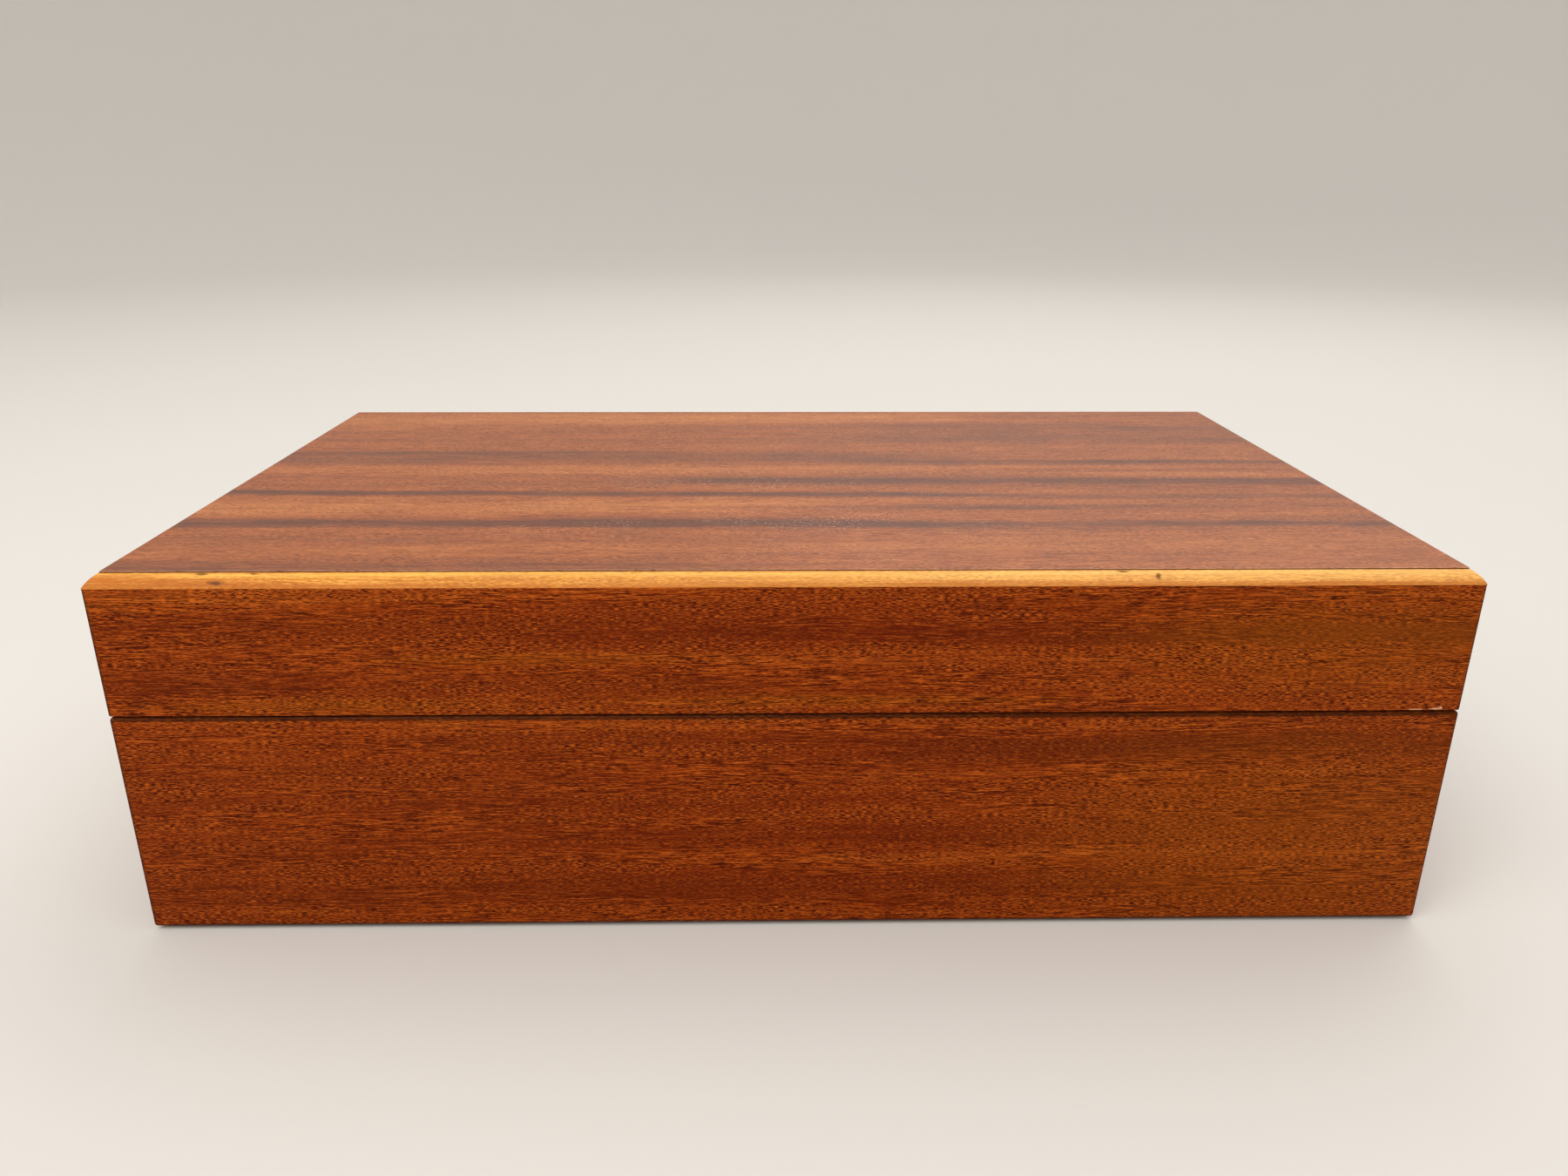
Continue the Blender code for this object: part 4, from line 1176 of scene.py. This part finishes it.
class HUMIDOR_OT_top(bpy.types.Operator):
    """Veneer sheet on the top and the rounded lipping round it"""

    bl_idname = "humidor.top"
    bl_label = "Top and lipping"

    def execute(self, context):
        case = context.scene.humidor_case
        line = case.joint_line
        edge = inset("lid_veneer")
        base = LID_WALL_TOP + line
        reach = edge * 3
        section = rounded([
            (0, BOX_TOP - base, case.sheet_round), (reach, BOX_TOP - base, 0), (reach, 0, 0),
            (0, 0, 0),
        ])
        section = [point for point in section if point.x < reach * 0.9]
        outline = [tuple(point) for point in section]
        start = outline.index(min(outline, key=lambda point: (point[1], point[0])))
        outline = outline[start:] + outline[:start]
        half = (HALF_WIDTH - edge, HALF_DEPTH - edge)
        sheet = swept("top_sheet", *half, case.sheet_corner, outline, facets=2)
        placed(sheet, (0, 0, base))
        # The top faces take the veneer; the upright rim takes the painted shade of the gap above the
        # lipping
        for name in ("sapele_veneer_top", "dark_veneer_edge"):
            sheet.materials.append(finish(name))
        for face in sheet.polygons:
            face.material_index = int(abs(face.normal.z) < 0.3)
        show("top_sheet", sheet, "lid", "mahogany_veneer", "lid_veneer", sharp=50)

        ledge = low("lipping_front").z - LID_RIM + line
        foot = Vector((case.lipping_step, ledge + case.lipping_step))
        peak = Vector((edge - line, BOX_TOP - case.sheet_lift - LID_RIM))
        chord = peak - foot
        outward = Vector((-chord.y, chord.x)).normalized()
        steps = 10
        curve = [
            foot + chord * step / steps
            + outward * case.lipping_bulge * (1 - (2 * step / steps - 1) ** 2)
            for step in range(steps + 1)
        ]
        section = [(edge - line, ledge), *reversed(curve), (case.lipping_step, ledge)]
        faces = ("lipping_long", "lipping_short")
        for side, mesh in four_boards("lipping", section, LID_RIM, 0.0, faces).items():
            show(f"lipping_{side}_strip", mesh, "lid", "lipping", f"lipping_{side}")
        return {"FINISHED"}


class HUMIDOR_OT_cedar(bpy.types.Operator):
    """Spanish cedar: liners of the base and lid, floor and divider"""

    bl_idname = "humidor.cedar"
    bl_label = "Cedar lining"

    def execute(self, context):
        case = context.scene.humidor_case
        uprights = ("cedar_x_upright", "cedar_y_upright")
        for stem, body, lead, edge in (
            ("base_liner", "base", case.liner_lead, case.liner_round),
            ("lid_liner", "lid", 0.0, case.liner_round),
        ):
            outer = inset(f"{stem}_left") - case.joint_line * 5
            inner = high(f"{stem}_front").y + HALF_DEPTH
            level = low(f"{stem}_front").z
            height = high(f"{stem}_front").z - level
            if lead:
                section = rounded([
                    (outer, 0, 0), (inner, 0, 0), (inner, height, edge),
                    (outer + lead, height, 0), (outer, height - lead, 0),
                ], 3)
            else:
                section = rounded([
                    (outer, 0, 0), (inner, 0, edge), (inner, height, 0), (outer, height, 0),
                ], 3)
            for side, mesh in four_boards(stem, section, level, 0.0, uprights).items():
                show(f"{stem}_{side}_strip", mesh, body, "spanish_cedar", f"{stem}_{side}")
        floor = block("floor_board", *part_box("base_floor"), case.floor_round)
        show("floor_board", floor, "base", "spanish_cedar", "base_floor", material="cedar_x_flat")
        divider = block("divider_board", *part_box("divider"), case.divider_round, 3)
        show("divider_board", divider, "divider", "spanish_cedar", "divider",
             material="cedar_y_upright")
        return {"FINISHED"}


class HUMIDOR_OT_hinges(bpy.types.Operator):
    """Brass butt hinges with their pins and countersunk screws"""

    bl_idname = "humidor.hinges"
    bl_label = "Hinges and screws"

    def execute(self, context):
        fit = context.scene.humidor_fittings
        for side, place in hinge_places().items():
            for body, up in (("base", 1), ("lid", -1)):
                leaf = self.leaf(fit, side, body, up, place)
                show(f"{side}_{body}_leaf", leaf, body, "brass", f"hinge_{side}_{body}_leaf",
                     material="lacquered_brass")
            show(f"{side}_pin", self.pin(fit, side, place), "base", "brass", f"hinge_{side}_pin",
                 material="lacquered_brass")
        self.screws(fit)
        return {"FINISHED"}

    def leaf(self, fit, side, body, up, place):
        """A leaf with its knuckles, bored for the pin and sunk for two screws."""
        node = f"hinge_{side}_{body}_leaf"
        gap = (LID_RIM - BASE_RIM) / 2
        half = high(node).x - place.x
        radius = high(node).y - AXIS.y
        reach = AXIS.y - low(node).y
        outline = leaf_outline(reach, -gap - fit.leaf_thickness, -gap, radius)
        leaf = drawn_along_x(node, outline, -half, half)

        # The lid's leaf has the middle one of three knuckles, and the base's the outer two
        inner = half / 3
        room = radius + PLAY
        past_end = half + OVERRUN
        spans = (
            [(-inner - PLAY, inner + PLAY)] if up > 0
            else [(-past_end, -inner + PLAY), (inner - PLAY, past_end)]
        )
        notches = [
            block("notch", (start, -room, -room), (end, room, room), PLAY / 4, 1)
            for start, end in spans
        ]
        bore_radius = fit.pin_radius + PLAY
        bore = turned("bore", [
            (WELD, -past_end), (bore_radius, -past_end), (bore_radius, past_end), (WELD, past_end),
        ], facets=6)
        bore.transform(Matrix.Rotation(pi / 2, 4, "Y"))
        throat = fit.screw_head * 0.5
        mouth = fit.screw_head * 1.04
        holes = []
        for number in (1, 2):
            spot = middle(f"screw_{side}_{body}_{number}") - place
            hole = turned("hole", [
                (throat, -OVERRUN), (throat, -throat), (mouth, 0.0), (mouth, OVERRUN / 8),
            ], facets=8)
            holes.append(placed(hole, (spot.x, spot.y, -gap)))
        leaf = carved(node, leaf, joined("notches", *notches), bore, joined("holes", *holes))
        return placed(leaf, place, Matrix.Rotation(0 if up > 0 else pi, 4, "Y"))

    def pin(self, fit, side, place):
        """A pin along the hinge's axis, with domed ends."""
        half = high(f"hinge_{side}_pin").x - place.x
        dome = fit.pin_radius / 3
        shoulder = fit.pin_radius * 0.7
        pin = turned("pin", [
            (WELD, -half), (shoulder, -half + dome / 3), (fit.pin_radius, -half + dome),
            (fit.pin_radius, half - dome), (shoulder, half - dome / 3), (WELD, half),
        ], facets=6)
        return placed(pin, place, Matrix.Rotation(pi / 2, 4, "Y"))

    def screws(self, fit):
        """One mesh of screws for each body, grown from one screw on the leaves' points."""
        head = fit.screw_head
        blank = turned("screw", screw_section(head), facets=6)
        slot = block(
            "slot", (-head * 1.2, -fit.slot_width / 2, -fit.slot_width * 0.8),
            (head * 1.2, fit.slot_width / 2, head), fit.slot_width / 20, 1,
        )
        screw = link("screw", carved("screw", blank, slot))
        tree = screw_tree(screw, finish("lacquered_brass"))
        for body, up in (("base", 1), ("lid", -1)):
            nodes = [
                f"screw_{side}_{body}_{number}" for side in ("left", "right") for number in (1, 2)
            ]
            level = high(nodes[0]).z if up > 0 else low(nodes[0]).z
            points = bpy.data.meshes.new("screw_points")
            points.from_pydata([(middle(n).x, middle(n).y, level) for n in nodes], [], [])
            mesh = grown(f"{body}_screws", tree, points, {
                "Over": 0.0 if up > 0 else pi, "Seed": 4 + up,
            })
            show(f"{body}_screws", shaped(mesh), body, "brass", *nodes)
        bpy.data.objects.remove(screw, do_unlink=True)


def grille_tree(material):
    """A plate with rounded corners and a row of round-ended slots."""
    tree, given = new_tree("slotted_plate", (
        ("Start", "Geometry"), ("Length", "Float"), ("Width", "Float"), ("Corner", "Float"),
        ("Thickness", "Float"), ("Slots", "Int"), ("Slot Length", "Float"),
        ("Slot Width", "Float"), ("Pitch", "Float"), ("Place", "Vector"),
    ))

    def outline(long, wide, corner, count):
        flat = add(tree, "GeometryNodeCurvePrimitiveQuadrilateral", {0: long, 1: wide})
        return add(
            tree, "GeometryNodeFilletCurve", {0: flat, "Count": count, "Radius": corner},
            mode="POLY",
        )

    plate = outline(given["Length"], given["Width"], given["Corner"], 6)
    end_round = product(tree, given["Slot Width"], 0.49)
    slot = outline(given["Slot Width"], given["Slot Length"], end_round, 4)
    spaces = add(tree, "ShaderNodeMath", {0: given["Slots"], 1: -1}, operation="ADD")
    first = product(tree, spaces, given["Pitch"], -0.5)
    row = add(tree, "GeometryNodeMeshLine", {
        "Count": given["Slots"],
        "Start Location": add(tree, "ShaderNodeCombineXYZ", {0: first}),
        "Offset": add(tree, "ShaderNodeCombineXYZ", {0: given["Pitch"]}),
    })
    slots = add(tree, "GeometryNodeInstanceOnPoints", {"Points": row, "Instance": slot})
    slots = add(tree, "GeometryNodeRealizeInstances", {0: slots})
    outlines = add(tree, "GeometryNodeJoinGeometry", {0: plate})
    tree.links.new(slots.outputs[0], outlines.inputs[0])
    face = add(tree, "GeometryNodeFillCurve", {0: outlines})
    up = add(tree, "ShaderNodeCombineXYZ", {2: given["Thickness"]})
    raised = add(tree, "GeometryNodeExtrudeMesh", {
        "Mesh": face, "Offset": up, "Offset Scale": 1.0, "Individual": False,
    })
    under = add(tree, "GeometryNodeFlipFaces", {0: face})
    whole = add(tree, "GeometryNodeJoinGeometry", {0: raised})
    tree.links.new(under.outputs[0], whole.inputs[0])
    welded = add(tree, "GeometryNodeMergeByDistance", {0: whole, "Distance": WELD})
    moved = add(tree, "GeometryNodeTransform", {0: welded, "Translation": given["Place"]})
    return ended(tree, moved, material)


class HUMIDOR_OT_humidifier(bpy.types.Operator):
    """Humidifier that hangs by magnets: a black shell, a slotted grille and its foam"""

    bl_idname = "humidor.humidifier"
    bl_label = "Humidifier"

    def execute(self, context):
        fit = context.scene.humidor_fittings
        half, foot = seat("humidifier_case")
        wall = low("humidifier_grille").x - low("humidifier_case").x
        corner = fit.shell_corner
        room = high("humidifier_foam").z - foot.z
        height = half.z * 2
        edge = fit.shell_round
        section = rounded([
            (half.y * 0.8, room, 0), (wall, room, 0), (wall, 0, edge * 0.3),
            (0, 0, edge * 0.7), (0, height, edge), (half.y * 0.8, height, 0),
        ], 4)
        shell = placed(swept("humidifier_shell", half.x, half.y, corner, section), foot)
        pockets = []
        for side in ("left", "right"):
            magnet, magnet_foot = seat(f"humidifier_magnet_{side}")
            radius = magnet.x + PLAY * 2
            pocket = turned("pocket", [
                (WELD, 0), (radius, 0), (radius, OVERRUN), (WELD, OVERRUN),
            ], facets=12)
            pockets.append(placed(pocket, magnet_foot))
        shell = carved("humidifier_shell", shell, *pockets)
        show("humidifier_shell", shell, "humidifier", "black_plastic", "humidifier_case",
             material="moulded_abs_black")

        half, foot = seat("humidifier_grille")
        start = bpy.data.meshes.new("grille_start")
        tree = grille_tree(finish("moulded_abs_black"))
        grille = grown("humidifier_grille_plate", tree, start, {
            "Length": half.x * 2, "Width": half.y * 2, "Corner": corner - wall,
            "Thickness": half.z * 2, "Slots": fit.slots, "Slot Length": fit.slot_length,
            "Slot Width": fit.grille_slot_width, "Pitch": fit.slot_pitch, "Place": foot,
        })
        show("humidifier_grille_plate", shaped(grille), "humidifier", "black_plastic",
             "humidifier_grille")

        half, foot = seat("humidifier_foam")
        top = half.z * 2
        ease = fit.foam_round
        core = placed(swept("foam_block", half.x, half.y, corner - wall, [
            (half.y * 0.9, 0), (ease, 0), (0, ease), (0, top - ease), (ease, top),
            (half.y * 0.9, top),
        ]), foot)
        foam_piece = show("humidifier_foam_block", core, "humidifier", "foam",
                          "humidifier_foam", material="open_cell_foam")

        keeper = block("keeper_plate", *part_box("humidifier_keeper"), fit.keeper_round)
        show("keeper_plate", keeper, "lid", "steel", "humidifier_keeper",
             material="plated_steel")
        return {"FINISHED"}


def tick_tree(material):
    """Bars round an arc about the origin, counted clockwise from a start angle."""
    tree, given = new_tree("ticks_on_an_arc", (
        ("Start", "Geometry"), ("Count", "Int"), ("Radius", "Float"), ("Size", "Vector"),
        ("From", "Float"), ("Sweep", "Float"), ("Place", "Vector"),
    ))
    index = add(tree, "GeometryNodeInputIndex")
    spaces = add(tree, "ShaderNodeMath", {0: given["Count"], 1: -1}, operation="ADD")
    done = add(tree, "ShaderNodeMath", {0: index, 1: spaces}, operation="DIVIDE")
    turn = total(tree, product(tree, done, given["Sweep"]), given["From"])
    sine = add(tree, "ShaderNodeMath", {0: turn}, operation="SINE")
    cosine = add(tree, "ShaderNodeMath", {0: turn}, operation="COSINE")
    spot = add(tree, "ShaderNodeCombineXYZ", {
        0: product(tree, sine, given["Radius"]), 1: product(tree, cosine, given["Radius"], -1),
    })
    points = add(tree, "GeometryNodePoints", {"Count": given["Count"], "Position": spot})
    bar = add(tree, "GeometryNodeMeshCube", {"Size": given["Size"]})
    spin = add(tree, "ShaderNodeCombineXYZ", {2: turn})
    bars = add(
        tree, "GeometryNodeInstanceOnPoints", {"Points": points, "Instance": bar, "Rotation": spin}
    )
    moved = add(tree, "GeometryNodeTransform", {0: bars, "Translation": given["Place"]})
    return ended(tree, moved, material)


# The dial's scale: its whole sweep, and its ticks by number, length and width
SCALE_SWEEP = radians(240)
TICKS = ((11, 0.0020, 0.00032), (51, 0.0011, 0.00014))
# Where the needle stands as it is drawn, at 70 of 100
READING = SCALE_SWEEP * (0.7 - 0.5)


class HUMIDOR_OT_hygrometer(bpy.types.Operator):
    """Dial hygrometer: brass bezel, glass, enamelled dial with its scale, and the needle"""

    bl_idname = "humidor.hygrometer"
    bl_label = "Hygrometer"

    def execute(self, context):
        fit = context.scene.humidor_fittings
        centre = middle("hygrometer_bezel")
        centre.z = 0
        bezel_low, bezel_high = (corner.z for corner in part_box("hygrometer_bezel"))
        rim = high("hygrometer_bezel").x - centre.x
        glass_radius = high("hygrometer_glass").x - centre.x
        skirt = high("hygrometer_case").x - centre.x + PLAY * 2
        lip = glass_radius - fit.bezel_lip
        glass_low = low("hygrometer_glass").z
        step = fit.bezel_step
        rim_inside = rim - fit.bezel_rim
        ring = rounded([
            (lip, glass_low - HAIR, 0), (skirt, glass_low - HAIR, 0), (skirt, bezel_high, 0),
            (rim, bezel_high, fit.bead / 3), (rim, bezel_low, fit.bead),
            (rim_inside, bezel_low, step / 2), (rim_inside - step, bezel_low + step, step / 2),
            (lip + step * 1.5, bezel_low + step, step),
        ])
        bezel = turned("bezel", [tuple(point) for point in ring], closed=True, facets=32)
        placed(bezel, centre)
        show("hygrometer_bezel_ring", bezel, "lid", "brass", "hygrometer_bezel",
             material="lacquered_brass", sharp=30)

        glass_high = high("hygrometer_glass").z
        ease = fit.glass_edge
        flat_radius = glass_radius - ease
        glass = turned("glass", [
            (WELD, glass_low), (flat_radius, glass_low), (glass_radius, glass_low + ease),
            (glass_radius, glass_high - ease), (flat_radius, glass_high), (WELD, glass_high),
        ])
        placed(glass, centre)
        show("hygrometer_window", glass, "lid", "glass", "hygrometer_glass",
             material="flat_dial_glass")

        dial_low, dial_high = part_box("hygrometer_dial")
        dial_radius = dial_high.x - centre.x
        hole = fit.dial_bore
        dial = turned("dial", [
            (hole, dial_low.z), (dial_radius, dial_low.z), (dial_radius, dial_high.z),
            (hole, dial_high.z),
        ], closed=True)
        placed(dial, centre)
        show("hygrometer_dial_plate", dial, "lid", "dial_card", "hygrometer_dial",
             material="cream_dial_enamel")
        self.scale(fit, centre, dial_low.z, lip)
        self.needle(fit, centre)

        spacer_low, spacer_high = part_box("hygrometer_spacer")
        outer = spacer_high.x - centre.x
        spacer = turned("spacer", [
            (outer - fit.spacer_wall, spacer_low.z), (outer, spacer_low.z),
            (outer, spacer_high.z), (outer - fit.spacer_wall * 1.4, spacer_high.z),
        ], closed=True)
        placed(spacer, centre)
        show("hygrometer_spacer_ring", spacer, "lid", "black_plastic", "hygrometer_spacer",
             material="moulded_abs_black")
        return {"FINISHED"}

    def scale(self, fit, centre, level, radius):
        """Ticks and numerals printed on the dial, from 0 to 100."""
        tree = tick_tree(finish("black_printing_ink"))
        film = fit.scale_film
        outer = radius * 0.93
        reach = radius * 0.68
        marks = []
        for count, long, wide in TICKS:
            start = bpy.data.meshes.new("tick_start")
            marks.append(grown("ticks", tree, start, {
                "Count": count, "Radius": outer - long / 2, "Size": (wide, long, film),
                "From": -SCALE_SWEEP / 2, "Sweep": SCALE_SWEEP,
                "Place": (centre.x, centre.y, level - film),
            }))
        for number in range(0, 101, 20):
            turn = SCALE_SWEEP * (number / 100 - 0.5)
            text = bpy.data.curves.new("numeral", "FONT")
            text.body = str(number)
            text.align_x, text.align_y = "CENTER", "CENTER"
            text.size = fit.numeral_height * 1.4
            text.extrude = film / 2
            text.resolution_u = 4
            mesh = plain(link("numeral", text), "numeral")
            place = centre + Vector((reach * sin(turn), -reach * cos(turn), level - film))
            marks.append(placed(mesh, place, Matrix.Rotation(pi, 4, "X")))
        scale = joined("dial_scale", *marks)
        show("hygrometer_scale", scale, "lid", "black_enamel", material="black_printing_ink")

    def needle(self, fit, centre):
        """A tapered pointer with a round hub and a flared tail, drawn at its reading."""
        lowest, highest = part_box("hygrometer_needle")
        hub = fit.needle_hub
        steps = 10
        turns = [radians(28 + 124 * step / steps) for step in range(steps + 1)]
        outline = [
            (hub * 0.075, fit.needle_tip), (hub * 0.375, hub),
            *((hub * sin(turn), hub * cos(turn)) for turn in turns),
            (hub * 0.3125, -hub * 1.1), (hub * 0.5625, -fit.needle_tail),
        ]
        outline += [(-x, y) for x, y in reversed(outline)]
        flat = [(x, -y, 0) for x, y in outline]
        hand = drawn("hand", flat, (0, 0, highest.z - lowest.z))
        cap = turned("cap", [
            (WELD, -hub / 4), (hub * 0.4375, -hub * 0.21875), (hub * 0.625, 0.0), (WELD, 0.0),
        ], facets=8)
        place = (centre.x, centre.y, lowest.z)
        placed(hand, place, Matrix.Rotation(READING, 4, "Z"))
        placed(cap, place)
        show("hygrometer_hand", joined("hand", hand, cap), "needle", "black_enamel",
             "hygrometer_needle", material="black_enamel")


class HUMIDOR_OT_pad(bpy.types.Operator):
    """Baize pad glued under the base"""

    bl_idname = "humidor.pad"
    bl_label = "Baize pad"

    def execute(self, context):
        case = context.scene.humidor_case
        half, foot = seat("base_pad")
        thick = half.z * 2
        ease = case.pad_round
        pad = placed(swept("baize_pad", half.x, half.y, case.pad_corner, [
            (half.y * 0.9, 0), (ease, 0), (0, ease), (0, thick), (half.y * 0.9, thick),
        ]), foot)
        piece = show("baize_pad", pad, "base", "baize", "base_pad", material="wool_baize_green")
        return {"FINISHED"}


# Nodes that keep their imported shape, each with its finish
KEPT = {
    "base_bottom": "poplar_ply",
    "lid_panel": "poplar_ply",
    "lid_ceiling": "cedar_x_flat",
    "humidifier_magnet_left": "plated_steel",
    "humidifier_magnet_right": "plated_steel",
    "hygrometer_case": "lacquered_brass",
    "hygrometer_coil": "lacquered_brass",
    "hygrometer_spindle": "plated_steel",
}


class HUMIDOR_OT_kept(bpy.types.Operator):
    """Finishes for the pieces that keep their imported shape"""

    bl_idname = "humidor.kept"
    bl_label = "Other pieces"

    def execute(self, context):
        for node, name in KEPT.items():
            for slot in frame["nodes"][node].material_slots:
                slot.material = finish(name)
        return {"FINISHED"}


# The soft square lights: the setting that holds the power, the side's length and the place
LIGHTS = {
    "key_light": ("key_power", 1.5, (-0.7, -1.1, 1.5)),
    "back_light": ("back_power", 1.6, (0.5, 0.9, 1.5)),
}


class HUMIDOR_OT_stage(bpy.types.Operator):
    """Pale floor that curves up behind, soft lights and the camera"""

    bl_idname = "humidor.stage"
    bl_label = "Stage and camera"

    def execute(self, context):
        stage = context.scene.humidor_stage
        self.floor(stage)
        world = bpy.data.worlds.new("studio")
        context.scene.world = world
        world.use_nodes = True
        sky = world.node_tree.nodes["Background"]
        sky.inputs["Color"].default_value = (0.93, 0.95, 1.0, 1)
        sky.inputs["Strength"].default_value = stage.ambient
        for name, (power, size, place) in LIGHTS.items():
            self.light(name, getattr(stage, power), size, place)
        context.scene.view_settings.view_transform = "Standard"

        yaw, pitch, roll = stage.turn
        forward = Vector((sin(yaw) * cos(pitch), cos(yaw) * cos(pitch), -sin(pitch)))
        right = Vector((cos(yaw), -sin(yaw), 0))
        turn = Matrix((right, right.cross(forward), -forward)).transposed()
        turn = Matrix.Rotation(-roll, 3, forward) @ turn
        camera = link("camera", bpy.data.cameras.new("camera"))
        camera.data.lens = stage.lens
        camera.data.sensor_width = 36
        camera.data.clip_start = 0.01
        camera.matrix_world = Matrix.Translation(stage.eye) @ turn.to_4x4()
        context.scene.camera = camera
        return {"FINISHED"}

    def floor(self, stage):
        """A floor that curves up all round, as a photographer's cove does."""
        flat, radius, height = 2.2, 2.6, 3.0
        arc = [radians(7.5 * step) for step in range(17)]
        rise = [(flat + radius * sin(turn), radius - radius * cos(turn)) for turn in arc]
        bowl = [(WELD, 0.0), *rise, (flat + radius, height)]
        sides = 96
        points = [
            (reach * cos(2 * pi * n / sides), reach * sin(2 * pi * n / sides), level)
            for reach, level in bowl for n in range(sides)
        ]
        faces = [
            (row * sides + n, row * sides + (n + 1) % sides,
             (row + 1) * sides + (n + 1) % sides, (row + 1) * sides + n)
            for row in range(len(bowl) - 1) for n in range(sides)
        ]
        mesh = bpy.data.meshes.new("floor")
        mesh.from_pydata(points, [], [tuple(reversed(face)) for face in faces])
        mesh.shade_smooth()
        floor = link("floor", mesh)
        material, tree, shader = new_material(
            "matte_studio_paint", Roughness=0.9, Specular_IOR_Level=0.2
        )
        cloud = blotches(tree, millimetres(tree), 260, 260, 2)
        tint = opaque(stage.floor_colour)
        look = blend(tree, product(tree, cloud, 0.08), tint, (0.6, 0.58, 0.54, 1))
        surface(tree, shader, look)
        mesh.materials.append(material)

    def light(self, name, power, size, place):
        lamp = bpy.data.lights.new(name, "AREA")
        lamp.energy = power
        lamp.size = size
        thing = link(name, lamp)
        thing.location = place
        thing.rotation_euler = (-Vector(place)).to_track_quat("-Z", "Y").to_euler()


class HUMIDOR_PT_panel(bpy.types.Panel):
    """The humidor's sizes and colours, and the steps that make it"""

    bl_idname = "HUMIDOR_PT_panel"
    bl_label = "Cigar humidor"
    bl_space_type = "VIEW_3D"
    bl_region_type = "UI"
    bl_category = "Humidor"

    def draw(self, context):
        for kind in GROUPS:
            group = getattr(context.scene, kind)
            column = self.layout.column(align=True)
            for name in group.__annotations__:
                column.prop(group, name)
        for step in STEPS:
            self.layout.operator(step.bl_idname)


GROUPS = {
    "humidor_case": HumidorCase,
    "humidor_wood": HumidorWood,
    "humidor_fittings": HumidorFittings,
    "humidor_stage": HumidorStage,
}
STEPS = (
    HUMIDOR_OT_boards,
    HUMIDOR_OT_top,
    HUMIDOR_OT_cedar,
    HUMIDOR_OT_hinges,
    HUMIDOR_OT_humidifier,
    HUMIDOR_OT_hygrometer,
    HUMIDOR_OT_pad,
    HUMIDOR_OT_kept,
    HUMIDOR_OT_stage,
)


def register():
    for name, kind in GROUPS.items():
        bpy.utils.register_class(kind)
        setattr(bpy.types.Scene, name, PointerProperty(type=kind))
    for kind in (*STEPS, HUMIDOR_PT_panel):
        bpy.utils.register_class(kind)


def unregister():
    for kind in (HUMIDOR_PT_panel, *reversed(STEPS)):
        bpy.utils.unregister_class(kind)
    for name, kind in GROUPS.items():
        delattr(bpy.types.Scene, name)
        bpy.utils.unregister_class(kind)


def main():
    register()
    for step in STEPS:
        group, name = step.bl_idname.split(".")
        getattr(getattr(bpy.ops, group), name)()


if __name__ == "__main__":
    main()
